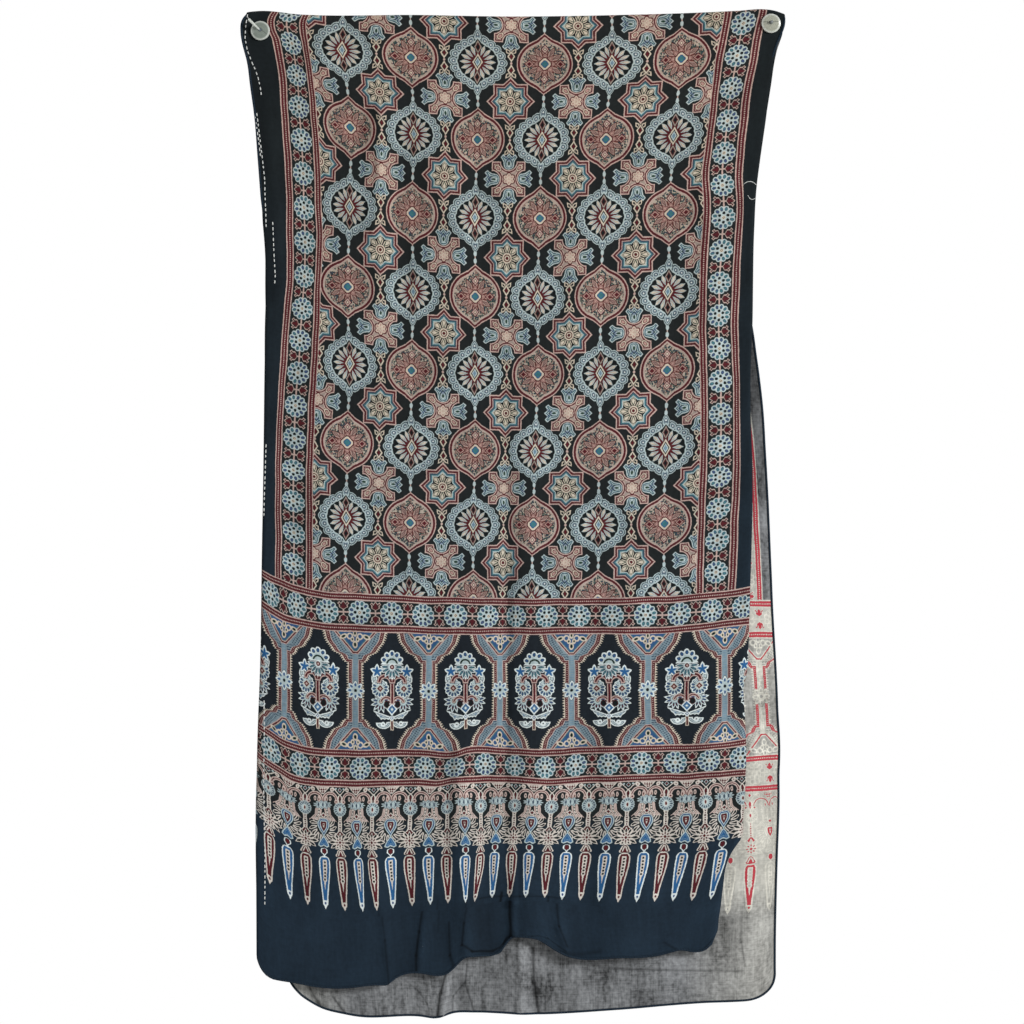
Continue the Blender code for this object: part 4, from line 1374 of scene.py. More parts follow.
def panel_print():
    """The panel: columns that spread into lobed triangles at both ends, which frame a flowering
    plant in each gap between them."""
    group, (across, down) = new_group("Panel print", {"Across": 0, "Down": 0}, {"Color": "Color"})
    drawn = Printing(group, "ink")
    lay = drawn.lay
    middle = (PANEL_TOP + PANEL_END) / 2
    up = middle - down
    far = abs(up)
    x = centred(across - FIRST_COLUMN, PANEL_REPEAT) * PANEL_SCALE
    side = abs(x)
    frame = most(9.4 - side, least((outline(far, LOBES) - side) * 0.76, far - 24.0))
    along = far + most(side - 9.3, 0) * 0.6
    teeth = frame - nearest(along, 2.6) * 2.1
    lay(teeth, "cream", soft=0.6)
    lay(frame - 2.3, "cream", 0.5, "maroon", 2.9, "pink", 0.6, "dusty")
    tick = oval(nearest(along, 2.0), frame - 4.3, 0.4, 0.55)
    lay(tick, "pink", where=(frame < 6) * 0.8, soft=0.3)
    cell = length(nearest(along, 2.6), nearest(frame - 7.2, 2.4))
    lay(0.85 - cell, "slate", where=(frame > 6.6) * (frame < 12.2) * (side > 3.2), soft=0.6)
    rungs = least(nearest(far, 2.4) - 0.75, 1.7 - side)
    lay(rungs, "sky", where=frame > 6)
    triangle = least((3.6 + (far - 37) * 0.89 - side) * 0.75, far - 36)
    triangle_bands = ("pink", 0.8, "maroon", 1.3, "pink", 0.9, "teal", 1.0, "blue")
    lay(triangle + 0.6, *triangle_bands)
    # Sprigs in the blue triangles: a drop and two side leaves on scrolls
    curl = 0.7 - abs(length(side - 5.2, far - 52.5) - 2.6)
    lay(curl, "cream", where=triangle > 3)
    sprig_bands = ("cream", 1.15, "green", 0.5, "black")
    lay(oval(side, far - 44.6, 2.6, 3.6), *sprig_bands)
    turned = (side - 11.8) * 0.35 + (far - 52.2) * 0.94
    lay(oval((side - 11.8) * 0.94 - (far - 52.2) * 0.35, turned, 4.2, 2.4), *sprig_bands)
    lay(oval(side - 2.7, far - 49.6, 2.0, 2.6), *sprig_bands)
    lay(oval(side, far - 55.5, 2.2, 3.4), *sprig_bands)
    # The flower at the middle of each column
    reach, turn = polar(x, up)
    flower = petals(reach, turn, 8, 9.8, 6.2, 1.2)
    lay(flower + 0.5, "charcoal", 0.5, "white", 1.2, "pale")
    lay(ring_spots(reach, turn, 8, 5.8, 0.95, 1.5), "indigo", 0.3, "deep blue")
    lay(oval(x, up, 2.4), "pale", 0.8, "black")

    # The plant, about a line halfway between two columns
    pale_petals = ("ink", 0.5, "white", 1.1, "pale")
    x = centred(across - FIRST_COLUMN - PANEL_REPEAT / 2, PANEL_REPEAT) * PANEL_SCALE
    side = abs(x)
    # Base leaves, each with a curl in it, and wing leaves
    bowl = length((side - 8.6) * 0.76, up + 30.4)
    crescent = least(2.0 - abs(bowl - 4.2), -29.6 - up - side * 0.06)
    lay(crescent, "white", 1.0, "slate", 0.5, "pale")
    lay(0.8 - abs(length(side - 9.4, up + 32.2) - 1.7), "white")
    lay(least(1.7 - side, -27 - up, up + 38.4), "cream", 0.8, "maroon")
    under = up + 27.6 - most(side - 11.5, 0) * 1.05 - nearest(side, 3.8) * 0.5
    wing = least(side * 0.34 - 25.2 - up, under)
    lay(wing * 0.9, "white", 1.1, "slate", 0.4, "pale", 0.7, "deep blue")
    lay(diamond(x, up + 26.0, 3.4, 3.2), "white", 1.0, "indigo", 0.6, "white")
    # Lower fans of leaves, with a diamond between them
    reach, turn = polar(side - 11.8, up + 10.4)
    fan = least(petals(reach, turn, 12, 11.0, 6.4, 1.0, 0.3), -6.4 - up)
    lay(fan + 0.5, "ink", 0.5, "white", 1.2, "pale")
    seeds = ring_spots(reach, turn, 12, 6.0, 0.9, 2.1, 0.3)
    lay(least(seeds, fan - 0.8), "slate", 0.3, "indigo", where=turn > -0.4, soft=0.5)
    lay(least(seeds, fan - 0.8), "slate", 0.3, "maroon", where=turn < -0.4, soft=0.5)
    lay(oval(side - 11.8, up + 10.0, 2.3), "green", 0.6, "cream", 0.8, "rust", soft=0.3)
    lay(oval(side - 5.8, up + 12.8, 3.0, 3.6), "maroon", 0.6, "black")
    knot = diamond(x, up + 17.6, 5.8, 6.2)
    lay(knot + 0.4, "ink", 0.4, "white", 1.2, "deep blue", 1.3, "sky", 0.8, "white")
    # Small pointed leaves over the round flowers, and star leaves above them
    lay(oval(side - 18.4, up - 11.6, 3.0, 5.0), "white", 1.1, "slate", 0.6, "pale")
    leaf_reach, leaf_turn = polar(side - 15.4, up - 18.8)
    leaf = petals(leaf_reach, leaf_turn, 5, 7.4, 3.9, 0.9, -math.pi / 2)
    lay(leaf + 0.5, "ink", 0.5, "white", 1.3, "pale", 0.8, "deep blue")
    # The two round flowers, and the arches of the stem over them
    reach, turn = polar(side - 12.6, up - 2.4)
    petal = petals(reach, turn, 13, 9.2, 8.1, 2)
    lay(petal + 0.5, *pale_petals)
    lay(ring_spots(reach, turn, 13, 6.3, 1.0, 1.8), "slate", 0.3, "blue", soft=0.5)
    lay(diamond(side - 12.6, up - 2.4, 3.9, 3.9), "cream", 0.4, "maroon", 1.4, "pink")
    lay(oval(nearest(side - 8.8, 6.4), up - 7.8, 1.9), "white", 0.6, "teal", 0.6, "white",
              where=(side > 6) * (side < 18.4))  # fmt: skip
    arch = least(1.5 - abs(length(side - 6.4, up + 12.2) - 5.8), up + 11.5)
    lay(arch, "pink", 0.9, "maroon", 1.2, "pink")
    lay(least(2.1 - side, 9.0 - up, up + 13), "pink", 1.0, "maroon")
    arch = least(2.1 - abs(length(side - 7.3, up - 8.2) - 6.3), up - 7.6)
    lay(arch + 0.3, "ink", 0.3, "pink", 1.1, "maroon", 1.5, "pink")
    # The flower head: five round petals over pointed ones
    lay(oval(x, up - 15.6, 2.0, 3.8), "white", 0.9, "deep blue")
    reach, turn = polar(x, up - 23.4)
    rays = least(petals(reach, turn, 14, 12.2, 8.4, 1.0), 25.8 - up)
    lay(rays + 0.5, *pale_petals)
    spots = least(ring_spots(reach, turn, 14, 7.2, 1.0, 3.0), 25.8 - up)
    lay(spots, "slate", 0.3, "teal", soft=0.5)
    reach, turn = polar(x, up - 27.6)
    fan = least(petals(reach, turn, 10, 12.2, 9.8, 2, math.pi / 10), up - 25.6)
    lay(fan + 0.5, *pale_petals)
    eyes = ring_spots(reach, turn, 10, 8.7, 2.2, 2.7, math.pi / 10)
    lay(least(eyes, up - 26.4), "white", 0.4, "slate", 0.6, "blue")
    arc = least(0.9 - abs(length(x, up - 25.6) - 5.4), up - 26.6)
    lay(arc, "green", 0.5, "black")
    lay(oval(x, up - 23.4, 2.9), "white", 0.6, "maroon", 1.3, "pink")
    return close_group(group, drawn.colour)


DROP = ((0, 0.2), (1, 3.6), (3, 5.6), (5.5, 6.4), (8.5, 5.9), (12, 4.0), (15.5, 1.6), (18, 0.2))
DAGGER = ((0, 0.3), (1, 3.4), (3, 5.1), (6, 5.8), (12, 5.7), (20, 5.0), (30, 3.9), (38, 3.0),
          (44, 2.6), (47, 1.3), (49.5, 0.1))  # fmt: skip
CHAIN = ((8, 0.6), (9.5, 2.2), (11.5, 2.6), (14, 2.0), (15.8, 2.0), (28, 2.4), (32, 1.7), (36, 2.2),
         (41.5, 2.0), (44, 3.0), (47.5, 6.2), (48.6, 6.6), (49.4, 2.0), (60, 0.6), (62, 2.8),
         (65.5, 4.6), (67.8, 5.6), (68.8, 0.4))  # fmt: skip
HEART = ((49.5, 0.6), (51.5, 2.4), (54, 4.0), (57.5, 5.6), (60, 6.0), (60.6, 0.6), (61.2, 1.8),
         (62.6, 3.4), (64.2, 3.6), (66.5, 1.8), (68.6, 0.6))  # fmt: skip


def lace_print():
    """The lace below the lower band: large drops under scrolls and slender chains in turn, each
    ending in a long dagger, blue under the drops and maroon under the chains."""
    group, (across, down) = new_group("Lace print", {"Across": 0, "Down": 0}, {"Color": "Color"})
    drawn = Printing(group, "charcoal")
    lay = drawn.lay
    low = down - LACE_TOP
    lay((low - 46) * 0.03, "navy", soft=0.9)
    # The chains
    pitch = PANEL_REPEAT / 2
    x = centred(across - FIRST_COLUMN - pitch / 2, pitch) * LACE_SCALE
    side = abs(x)
    lay(least(8.4 - low * 0.95 - side, 8 - low), "shell", 1.1, "charcoal")
    lay(diamond(x, low - 2.8, 2.2, 2.4), "pale", 0.4, "maroon")
    lay(oval(side - 4.2, low - 1.8, 0.9), "pale")
    lay(outline(low, CHAIN) - side, "shell", 1.2, "charcoal", 0.5, "maroon")
    petal = 0.6 - abs(side - (low - 61.6) * 0.44)
    lay(petal, "shell", where=(low > 62.4) * (low < 67.4))
    chain = length(x, nearest(low - 15.2, 4.4))
    lay(least(1.5 - chain, low - 27, 44 - low), "shell", 0.8, "maroon", soft=0.3)
    reach, turn = polar(x, low - 22.2)
    lay(petals(reach, turn, 18, 7.0, 6.4, 2), "pale", 1.0, "slate", 0.4, "pale")
    lay(ring_spots(reach, turn, 14, 4.7, 0.6, 1.2), "slate", soft=0.5)
    lay(oval(x, low - 22.2, 1.4, 2.6), "shell", 0.4, "maroon")
    reach, turn = polar(x, low - 54.2)
    stretched = length(x / 1.25, (low - 54.2) * 1.1)
    fan = least(petals(stretched, turn, 12, 10.6, 6.6, 1.0), gaps(stretched, turn, 12) * 1.1)
    lay(least(fan + 0.3, 61 - low), "shell", 1.2, "charcoal")
    lay(4.9 - reach, "shell")
    lay(ring_spots(reach, turn, 8, 3.4, 0.7, 1.2), "maroon", soft=0.5)
    lay(diamond(x, low - 54.2, 1.6, 1.8), "maroon")

    # The drops, under their scrolls
    x = centred(across - FIRST_COLUMN, pitch) * LACE_SCALE
    side = abs(x)
    lay(least(7.6 - low * 0.95 - side, 7 - low), "shell")
    dots = length(centred(x + 1.2, 2.4), centred(low - 0.4, 2.4))
    lay(least(1.05 - dots, 6.6 - low * 0.95 - side, low - 0.8), "maroon", soft=0.5)
    lay(oval(side - 10.2, low - 2.6, 2.0), "shell", 1.2, "dusk")
    reach, turn = polar(x, low - 41)
    bent = turn + (reach - 11) * 0.035
    halo = least(petals(reach, bent, 14, 15.4, 10.8, 1.3), gaps(reach, bent, 14) - 0.4)
    halo = least(halo - 0.3, (low - 31.5) * 0.7, 56 - low)
    lay(halo, "shell", 1.0, "charcoal")
    lay(7.0 - reach, "charcoal")
    # The bell of striped leaves over the drop
    flare = (low - 20.5) * 0.16 + most(low - 28, 0) * 0.85 + 7.4
    bell = least(flare - side, low - 20.5, 34.2 - low - nearest(side - 1.6, 4.2) * 0.8)
    lay(bell, "blush", 1.0, "charcoal")
    stripes = nearest(side - (flare - 7.4) * 0.8 - 1.9, 3.7)
    lay(least(0.7 - stripes, bell - 0.4), "blush")
    dashes = least(0.7 - abs(stripes - 1.85), bell - 1.0, nearest(low, 3.0) * 1.4 - 0.6)
    lay(dashes, "shell", where=side > 2.4)
    lay(diamond(x, low - 28.6, 2.6, 2.4) + 0.3, "shell", 0.8, "maroon")
    # The scrolls, and the pale flower between them
    scroll = length(side - 7.9, low - 13.2)
    scroll_bands = ("blush", 1.0, "maroon", 0.9, "blush", 1.0, "charcoal")
    lay(8.6 - scroll, *scroll_bands, where=low < 15.0)
    lay(oval(side - 4.0, low - 12.4, 1.5, 3.4), "blush", 0.9, "rust")
    lay(oval(side - 8.0, low - 11.6, 1.3, 2.4), "blush", 0.8, "charcoal")
    lay(oval(side - 14.6, low - 14.6, 1.9), "blush", 1.0, "maroon")
    flower = petals(*polar(x / 2.3, low - 18.0), 11, 4.5, 3.0, 1.1)
    lay(flower + 0.4, "charcoal", 0.4, "pale", 0.9, "slate", 0.4, "pale")
    lay(oval(nearest(x, 4.4), low - 18.0, 0.9, 2.0), "slate", where=flower > 0.8)
    drop = outline(low - 31.5, DROP) - side + 0.5
    drop_bands = (
        "charcoal", 0.5, "pale", 1.0, "blue", 1.2, "pale", 0.9, "maroon", 2.0, "shell",
    )  # fmt: skip
    lay(least(drop * 0.94, low - 31.2), *drop_bands)
    lay(oval(x, low - 38, 0.8), "maroon")
    heart = least(outline(low, HEART) - side, low - 49)
    notch = 60.2 - low - nearest(side - 3.2, 6.4) * 0.5
    tulip_bands = ("pale", 1.2, "deep blue", 1.2, "sky", 0.5, "deep blue")
    lay(least(heart, notch), *tulip_bands, where=low < 61)
    lay(heart, "white", 1.2, "charcoal", 0.3, "maroon", where=low > 60.8)

    # The daggers
    top = low - (DAGGERS_TOP - LACE_TOP)
    x = centred(across - FIRST_COLUMN, pitch / 2) * LACE_SCALE
    side = abs(x)
    blue = abs(centred(across - FIRST_COLUMN, pitch)) < pitch / 4
    blade = least(outline(top, DAGGER) - side, top - 0.2)
    for here, pale, dye, spot in (
        (blue, "white", "deep blue", "indigo"),
        (1 - blue, "shell", "maroon", "maroon"),
    ):
        lay(blade, pale, 1.2, dye, 2.4, "shell", where=here)
        lay(least(blade - 1.3, top - 32 + side), dye, where=here)
        lay(least(blade - 0.2, top - 41.6), pale, where=here)
        lay(oval(x, top - 44.2, 1.0, 1.3), spot, where=here)
    seeds = length(x, nearest(top - 6.0, 3.2))
    lay(least(2.1 - seeds, 24 - top, top - 3.6), "shell", 1.0, "black")
    # The right margin stays plain
    lay(across - 524.5, "navy", where=low > 62)
    return close_group(group, drawn.colour)


def cotton_group():
    """The cotton under the print: threads of two ways as a height, slubs and unevenly taken dye
    as a shade, from the place on the cloth in metres."""
    group, (across, down, depth) = new_group(
        "Cotton weave", {"Across": 0, "Down": 0, "Unevenness": 1},
        {"Shade": "Float", "Height": "Float"},
    )  # fmt: skip

    def streaks(scale_across, scale_down, detail):
        places = join(across * scale_across, down * scale_down)
        return mottle(group, places, 1.0, detail, flat=True)

    warp = streaks(900, 40, 1.0)
    weft = streaks(40, 900, 1.0)
    bars = streaks(150, 26, 2.0)
    patches = streaks(260, 230, 3.0)
    blotch = streaks(28, 22, 2.0)
    fine = (warp - 0.5) * 0.18 + (weft - 0.5) * 0.18 + (patches - 0.5) * 0.42
    shade = 1 + (fine + (bars - 0.5) * 0.3 + (blotch - 0.5) * 0.5) * depth
    thread_x = reckon("SINE", across * (2 * math.pi / 0.00052))
    thread_y = reckon("SINE", down * (2 * math.pi / 0.00056))
    height = thread_x * thread_y * 0.5 + (warp + weft) * 0.6
    return close_group(group, shade, height)


def reverse_group():
    """What shows through to the back: undyed and blue lines come through pale, the ground is a
    mottled grey that is paler among fine print, and only the red dye comes through as red, by
    how much its red outdoes its green."""
    group, (printed, shade, pale) = new_group(
        "Show through", {"Print": None, "Shade": 0, "Paleness": 0}, {"Color": "Color"}
    )
    red, green, blue = split(group, printed.socket, "Color")[:3]
    drawn = Printing(group, "reverse grey")
    undyed = most(green, blue * 1.25) * 3.9 - 0.35
    drawn.blend(least(most(undyed, pale), 1.0), linear("reverse pale"))
    level = most((shade - 1) * (3.7 - pale * 3.0) + 1, 0.2)
    drawn.colour = grey_times(group, drawn.colour, level)
    ruddy = (red - green) / most(red, 0.004)
    drawn.blend(clamp((ruddy - 0.28) * 7), linear("reverse red"))
    return close_group(group, drawn.colour)


def grey_times(tree, colour, level, warmth=0.0):
    """A colour, made darker or lighter by a level, and browner by a warmth from 0 to 1."""
    grey = tree.nodes.new("ShaderNodeCombineColor")
    for socket, share in zip(grey.inputs[:3], (0.0, 0.05, 0.1)):
        feed(tree, level * (1 - warmth * share) if share else level, socket)
    mix = tree.nodes.new("ShaderNodeMix")
    mix.data_type = "RGBA"
    mix.blend_type = "MULTIPLY"
    mix.inputs["Factor"].default_value = 1.0
    feed(tree, colour, mix.inputs[6])
    tree.links.new(grey.outputs[0], mix.inputs[7])
    return mix.outputs[2]


def plain_print():
    """The plain cloth outside the print: nearly black by the fold, and bluer towards its end."""
    group, (_, down) = new_group("Plain ground", {"Across": 0, "Down": 0}, {"Color": "Color"})
    drawn = Printing(group, "night")
    drawn.blend(clamp((down + 430) / 640), linear("navy"))
    return close_group(group, drawn.colour)


def wobble_group():
    """Moves the print by a fraction of a step, as blocks set by hand and dye that creeps do."""
    group, (across, down) = new_group(
        "Hand printing", {"Across": 0, "Down": 0}, {"Across": "Float", "Down": "Float"}
    )
    moved_across, moved_down = across, down
    for scale, amount, detail in ((0.035, 1.3, 0.0), (0.55, 0.75, 1.0)):
        blot = noise(group, join(across, down), scale, detail, flat=True)
        aside, along, _ = split(group, blot.outputs["Color"], "Color")
        moved_across = moved_across + (aside - 0.5) * amount
        moved_down = moved_down + (along - 0.5) * amount
    return close_group(group, moved_across, moved_down)


def on_print(sheet, across, down):
    """The print steps of a place on the photograph's plane: those of the nearest point of the
    sheet, and from there by the local slope of its rows and lines."""
    _, rows, placed, heights = sheet
    near = np.argmin((placed - across) ** 2 + (heights - down) ** 2)
    i, j = np.unravel_index(near, placed.shape)
    i, j = min(max(i, 1), len(rows) - 2), min(max(j, 1), len(ACROSS) - 2)
    by_line = ACROSS[j + 1] - ACROSS[j - 1]
    by_row = rows[i + 1] - rows[i - 1]
    slopes = np.array([
        [(part[i, j + 1] - part[i, j - 1]) / by_line, (part[i + 1, j] - part[i - 1, j]) / by_row]
        for part in (placed, heights)
    ])
    moved = np.linalg.solve(slopes, [across - placed[i, j], down - heights[i, j]])
    return float(ACROSS[j] + moved[0]), float(rows[i] + moved[1])


def painted_shading_group(name, sheet, creases):
    """Pressed creases and patches as painted shade and painted light: about the straight line
    between two ends each one is a bell across it, darker or paler at its middle, and cut in as a
    narrow trough where it is fine and dark."""
    group, (across, down) = new_group(
        name, {"Across": 0, "Down": 0}, {"Shade": "Float", "Height": "Float"}
    )
    shade, height = 1.0, 0.0
    for x0, y0, x1, y1, dark, width in creases:
        a0, d0 = on_print(sheet, x0, y0)
        a1, d1 = on_print(sheet, x1, y1)
        run = (a1 - a0) ** 2 + (d1 - d0) ** 2
        from_a, from_d = across - a0, down - d0
        share = clamp(from_a * ((a1 - a0) / run) + from_d * ((d1 - d0) / run))
        away = length(from_a - share * (a1 - a0), from_d - share * (d1 - d0)) * (1 / width)
        bell = reckon("EXPONENT", away * away * -1.0)
        # Painted shade where the darkness is plus, painted light where it is minus
        shade = shade - bell * dark
        if width < 2.5:
            height = height - bell * dark
    return close_group(group, most(shade, 0.25), height)


def new_finish(name, roughness):
    """A material with its shader, its tree and that roughness."""
    finish = bpy.data.materials.new(name)
    finish.use_nodes = True
    shader = finish.node_tree.nodes["Principled BSDF"]
    shader.inputs["Roughness"].default_value = roughness
    return finish, finish.node_tree, shader


def print_map(tree):
    """The map of the print: its socket, and its places across and down in metres of cloth."""
    places = tree.nodes.new("ShaderNodeUVMap")
    places.uv_map = "print"
    return places.outputs[0], *split(tree, places.outputs[0])[:2]


def lift(tree, shader, height, strength, distance):
    """A bump from a height."""
    bump = tree.nodes.new("ShaderNodeBump")
    bump.inputs["Strength"].default_value = strength
    bump.inputs["Distance"].default_value = distance
    feed(tree, height, bump.inputs["Height"])
    tree.links.new(bump.outputs[0], shader.inputs["Normal"])


def cloth_finish(name, region, prints, shared, reverse, pressed=None):
    """Dyed cotton for one region of one side: its print, moved as by hand, dyed unevenly, with
    painted shade and light at its pressed creases where it has them, and on the reverse only what
    shows through."""
    finish, tree, shader = new_finish(name, 0.9)
    shader.inputs["Specular IOR Level"].default_value = 0.12
    _, u, v = print_map(tree)
    moved = use_group(tree, shared["wobble"], u / STEP, v / STEP)
    across, down = Value(tree, moved.outputs[0]), Value(tree, moved.outputs[1])
    if region == "border":
        # Both side borders, from their own middles
        middle = reckon("COMPARE", across, RIGHT_MIDDLE, 60.0) * (RIGHT_MIDDLE - LEFT_MIDDLE)
        off = across - middle - LEFT_MIDDLE
        along = (down + BORDER_START) * (ROUNDEL_PITCH / BORDER_PITCH)
        drawn = use_group(tree, prints["border"], along, off, BORDER_HALF_WIDTH)
    elif region == "band":
        low = down > PANEL_TOP + 20
        off = down - BAND / 2 - low * PANEL_END
        along = (across - FIRST_BAND_MARK[0]) * (ROUNDEL_PITCH / FIRST_BAND_MARK[1])
        drawn = use_group(tree, prints["border"], along, off, BAND_HALF_WIDTH)
    else:
        drawn = use_group(tree, prints[region], across, down)
    cotton = use_group(tree, shared["cotton"], u, v, 1.0)
    shade, height = Value(tree, cotton.outputs[0]), Value(tree, cotton.outputs[1])
    painted_shade_and_darkening = 1.0
    # Painted shade and painted light at pressed creases and patches, and their bump
    if pressed:
        creases = use_group(tree, pressed, u / STEP, v / STEP)
        painted_shade_and_darkening = Value(tree, creases.outputs[0])
        height = height + Value(tree, creases.outputs[1]) * 5
    if reverse:
        paleness = PALENESS[region]
        if region in ("plain", "lace"):
            # Greyer towards the plain end, but paler near the selvedges as painted light, where
            # less of the front half's shadow falls
            low = clamp((down + 20) / 250)
            end = PALENESS["plain"] + clamp((abs(across - 255) - 175) / 80) * low * 0.34
            faded = most((DAGGERS_END + 4 - down) / 60 * 0.6 + end, end)
            paleness = least(faded, paleness) if region == "lace" else end
        # Darker towards the top, by the fold
        painted_shade_and_darkening = painted_shade_and_darkening * least(most(down * 0.003 + 1.12, 0.48), 1)
        shown = use_group(tree, shared["reverse"], drawn.outputs[0], shade, paleness)
        feed(tree, grey_times(tree, shown.outputs[0], painted_shade_and_darkening), shader.inputs["Base Color"])
    else:
        warmth = clamp(v / (-560 * STEP))
        dyed = grey_times(tree, drawn.outputs[0], shade * painted_shade_and_darkening, warmth)
        feed(tree, dyed, shader.inputs["Base Color"])
    lift(tree, shader, height, 0.35, 0.0002)
    return finish


def cloth_finishes(front, back):
    """The finishes of all regions, first as on the printed side, then as on the reverse. The
    plain cloth and the lace show pressed creases as painted shade and light, each side its own
    half's."""
    border = roundel_border()
    prints = {
        "plain": plain_print(), "border": border, "field": field_print(), "band": border,
        "panel": panel_print(), "lace": lace_print(),
    }  # fmt: skip
    shared = {"wobble": wobble_group(), "cotton": cotton_group(), "reverse": reverse_group()}
    # Painted shade and painted light at each side's creases and patches
    pressed = {
        "Printed": painted_shading_group("Front painted shading", front, FRONT_PAINTED_SHADING),
        "Reverse": painted_shading_group("Back painted shading", back, BACK_PAINTED_SHADING),
    }
    return [
        cloth_finish(
            f"{side} {region}", region, prints, shared, side == "Reverse",
            pressed[side] if region in ("plain", "lace") else None,
        )
        for side in ("Printed", "Reverse")
        for region in REGIONS
    ]


def thread_finish(name, dye, twist, pitch):
    """Cotton thread or a rolled hem: strands that wind round it at a slant, with painted shade
    between the turns, from its places along and around in metres."""
    finish, tree, shader = new_finish(name, 0.88)
    shader.inputs["Specular IOR Level"].default_value = 0.15
    places, u, v = print_map(tree)
    wind = reckon("SINE", (u + v * twist) * (2 * math.pi / pitch))
    grain = mottle(tree, places, 240.0)
    # Painted shade between the turns of the strands
    shade = 0.86 + wind * 0.16 + (grain - 0.5) * 0.5
    ground = linear(dye)
    feed(tree, grey_times(tree, ground, shade), shader.inputs["Base Color"])
    lift(tree, shader, wind + grain, 0.5, 0.0002)
    return finish


def pin_plastic(name, centre, tint, painted_steel_line, stem):
    """Clear plastic gone a little milky: turned rings round the middle, a paler rim as a painted
    highlight, a greyer hub painted where the steel shows through, a thin dark line painted across
    it at a slope for the steel seen through the head, and a stem that is paler where it stands
    proud of the head."""
    finish, tree, shader = new_finish(name, 0.16)
    shader.inputs["IOR"].default_value = 1.49
    shader.inputs["Transmission Weight"].default_value = 0.4
    spot = tree.nodes.new("ShaderNodeTexCoord")
    x, y, z = (part * 1000 for part in split(tree, spot.outputs["Object"]))
    x, z = x - centre[0], z - centre[1]
    reach = length(x, z)
    cloud = mottle(tree, spot.outputs["Object"], 260.0)
    rings = reckon("SINE", reach * 3.4 + cloud * 1.5)
    shade = 0.94 + rings * 0.05 + (cloud - 0.5) * 0.3
    drawn = Printing(tree, tint)
    # Painted highlight: a paler rim round the head
    drawn.lay(reach - 8.3, "pin pale", where=0.75, soft=0.9)
    # A thin dark line painted across the head where the steel shows through it
    slope, low, high = painted_steel_line
    line = 0.45 - abs(z - x * slope - 1.4)
    drawn.lay(least(line, x - low, high - x), "pin grey", where=0.6, soft=0.4)
    drawn.lay(oval(x, z - 0.6, 2.3, 2.0), "pin grey", 0.6, "pin blue", where=0.75, soft=0.6)
    drawn.lay(-y - 9.2, "pin pale", where=stem, soft=0.6)
    feed(tree, grey_times(tree, drawn.colour, shade), shader.inputs["Base Color"])
    feed(tree, 0.14 + cloud * 0.16, shader.inputs["Roughness"])
    lift(tree, shader, rings * 0.5 + cloud, 0.25, 0.0002)
    return finish


def pin_steel():
    """Drawn steel: fine lines along the pin, a little uneven in colour and gloss."""
    finish, tree, shader = new_finish("Pin steel", 0.3)
    shader.inputs["Metallic"].default_value = 1.0
    spot = tree.nodes.new("ShaderNodeTexCoord")
    stretch = tree.nodes.new("ShaderNodeMapping")
    stretch.inputs["Scale"].default_value = (1.0, 0.06, 1.0)
    tree.links.new(spot.outputs["Object"], stretch.inputs["Vector"])
    lines = mottle(tree, stretch.outputs[0], 2600.0, 3.0)
    feed(tree, grey_times(tree, (0.56, 0.57, 0.58, 1.0), 0.8 + lines * 0.35),
         shader.inputs["Base Color"])  # fmt: skip
    feed(tree, 0.2 + lines * 0.25, shader.inputs["Roughness"])
    lift(tree, shader, lines, 0.2, 0.0001)
    return finish


def floor_finish():
    """Pale matt floor paint, a little clouded and grained."""
    finish, tree, shader = new_finish("Pale floor", 0.85)
    spot = tree.nodes.new("ShaderNodeTexCoord")
    cloud = mottle(tree, spot.outputs["Object"], 2.2)
    grain = mottle(tree, spot.outputs["Object"], 160.0)
    shade = 0.98 + (cloud - 0.5) * 0.06 + (grain - 0.5) * 0.05
    feed(tree, grey_times(tree, (0.8, 0.8, 0.79, 1.0), shade), shader.inputs["Base Color"])
    lift(tree, shader, grain, 0.1, 0.0004)
    return finish


def set_stage():
    """A soft white surround, a pale floor well below the cloth, and soft lights."""
    scene = bpy.context.scene
    scene.view_settings.view_transform = "Standard"
    world = bpy.data.worlds.new("White studio")
    scene.world = world
    world.use_nodes = True
    tree = world.node_tree
    tree.nodes.clear()
    path = tree.nodes.new("ShaderNodeLightPath")
    strength = tree.nodes.new("ShaderNodeMapRange")
    strength.inputs["To Min"].default_value = 0.3
    strength.inputs["To Max"].default_value = 1.0
    background = tree.nodes.new("ShaderNodeBackground")
    background.inputs["Color"].default_value = (1, 1, 1, 1)
    output = tree.nodes.new("ShaderNodeOutputWorld")
    tree.links.new(path.outputs["Is Camera Ray"], strength.inputs["Value"])
    tree.links.new(strength.outputs[0], background.inputs["Strength"])
    tree.links.new(background.outputs[0], output.inputs[0])

    floor_mesh = bpy.data.meshes.new("floor")
    corners = [(-1.6, -3, FLOOR), (1.6, -3, FLOOR), (1.6, 0.25, FLOOR), (-1.6, 0.25, FLOOR)]
    floor_mesh.from_pydata(corners, [], [(0, 1, 2, 3)])
    floor = place("floor", floor_mesh, floor_finish())

    for name, spot, aim, size, power in LIGHTS:
        light = bpy.data.lights.new(name, "AREA")
        light.shape = "DISK"
        light.size = size
        light.energy = power
        lamp = bpy.data.objects.new(name, light)
        scene.collection.objects.link(lamp)
        lamp.location = spot
        lamp.rotation_euler = (Vector(aim) - Vector(spot)).to_track_quat("-Z", "Y").to_euler()

    camera = bpy.data.cameras.new("camera")
    camera.lens = LENS
    camera.sensor_width = SENSOR
    camera.clip_end = 20
    eye = bpy.data.objects.new("camera", camera)
    scene.collection.objects.link(eye)
    eye.location = (VIEW_MIDDLE[0], -VIEW_DISTANCE, VIEW_MIDDLE[1])
    eye.rotation_euler = (math.pi / 2, 0, 0)
    scene.camera = eye


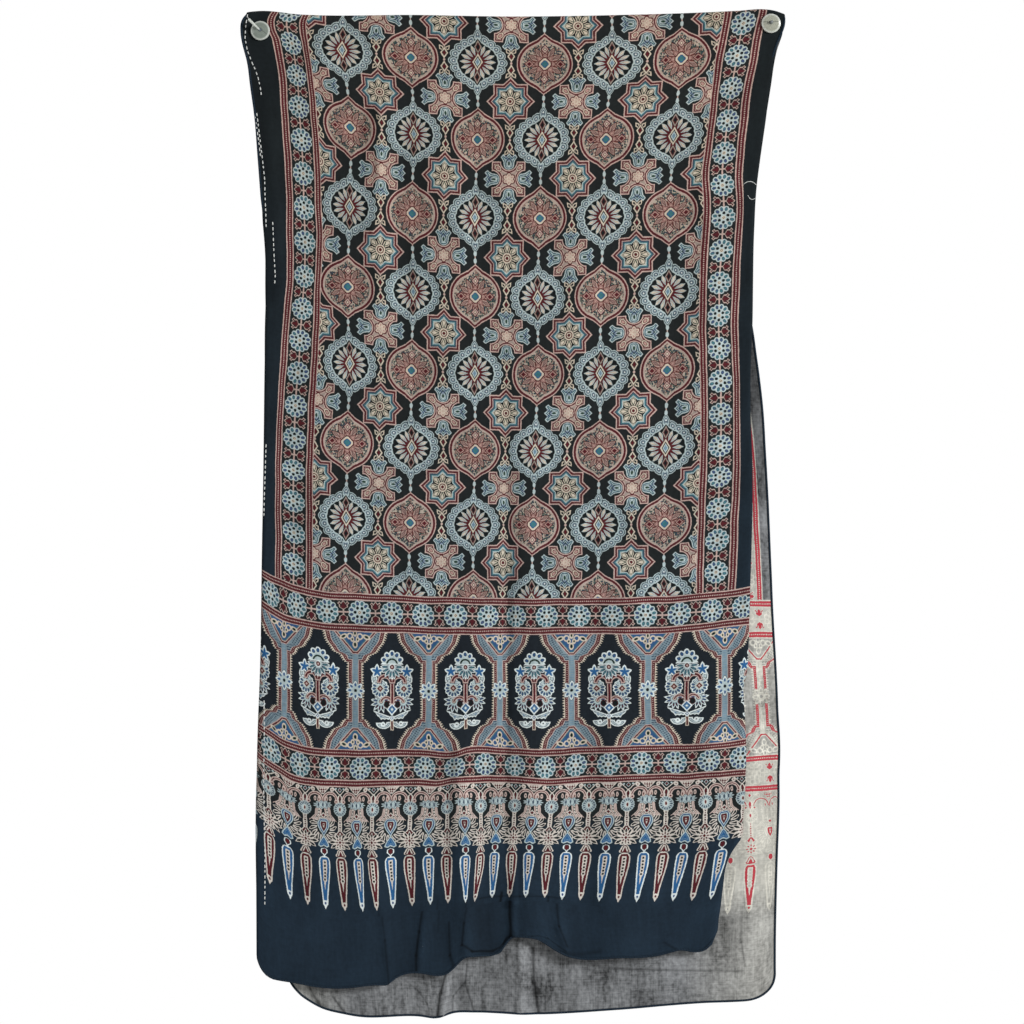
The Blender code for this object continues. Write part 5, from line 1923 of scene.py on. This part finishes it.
def print_places(down, across, heights, rows):
    """The print's step down at each point: its row's own, but above the first listed row the
    cloth is taken up at full length, because the fold isn't level with the print."""
    first = rows[0][0]
    level = curve_through(rows[0][1], across)
    own = np.broadcast_to(down[:, None], across.shape)
    return np.where(own < first, first - (level - heights), own)


def half(name, sheet, other, rows, front, finishes):
    """One half of the stole as a closed piece, from its sheet and the other half's."""
    middle, down, across, heights = sheet
    front_middle, back_middle = (middle, other[0]) if front else (other[0], middle)
    joined = over_the_fold(front_middle, back_middle)[0 if front else 1]
    lead = np.arange(TURN_STEPS, 0, -1) * TURN_ROW
    down = np.concatenate([FOLD_ROW - lead, down])
    print_down = print_places(down[TURN_STEPS:], across, heights, rows)
    print_down = np.concatenate([print_down[0] - lead[:, None], print_down])
    across = np.concatenate([np.repeat(across[:1], TURN_STEPS, axis=0), across])
    region = region_of(down)
    steps = print_steps(region, down, across, print_down, front)
    return place(name, make_sheet(name, joined, steps, region, front), *finishes)


def main():
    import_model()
    front, back = lay_out(FRONT), lay_out(BACK)
    finishes = cloth_finishes(front, back)
    cloth_front = half("cloth_front", front, back, FRONT_ROWS, True, finishes)
    cloth_back = half("cloth_back", back, front, BACK_ROWS, False, finishes)
    rolled = thread_finish("Rolled hem", "navy", 0.5, 2.9 * MM)
    white = thread_finish("White thread", "stitch white", 1.0, 1.0 * MM)
    front_hem = threads("front_hem", [hem_along(front[0], False)], rolled)
    back_hem = threads("back_hem", [hem_along(back[0], True)], rolled)
    stitches, loose = margin_stitches(white), loose_threads(white)
    for piece in (front_hem, back_hem, stitches, loose):
        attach(piece, "root")
    for piece, flat, trims in (
        (cloth_front, (0.562, 0.99), [front_hem, stitches, loose]),
        (cloth_back, (0.562, 1.05), [back_hem]),
    ):
        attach(piece, "root")
        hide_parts("cloth")
    steel = pin_steel()
    for pin, tint, painted_steel_line, stem in (
        ("left_pin", "pin milk", (-0.75, -1.0, 7.0), 0.9),
        ("right_pin", "pin cream", (0.02, -9.0, 7.5), 0.2),
    ):
        plastic = pin_plastic(pin.replace("_", " ") + " plastic", PINS[pin], tint, painted_steel_line, stem)
        for slot in bpy.data.objects[pin + "_head"].material_slots:
            slot.material = plastic
        for slot in bpy.data.objects[pin + "_point"].material_slots:
            slot.material = steel
    set_stage()


main()
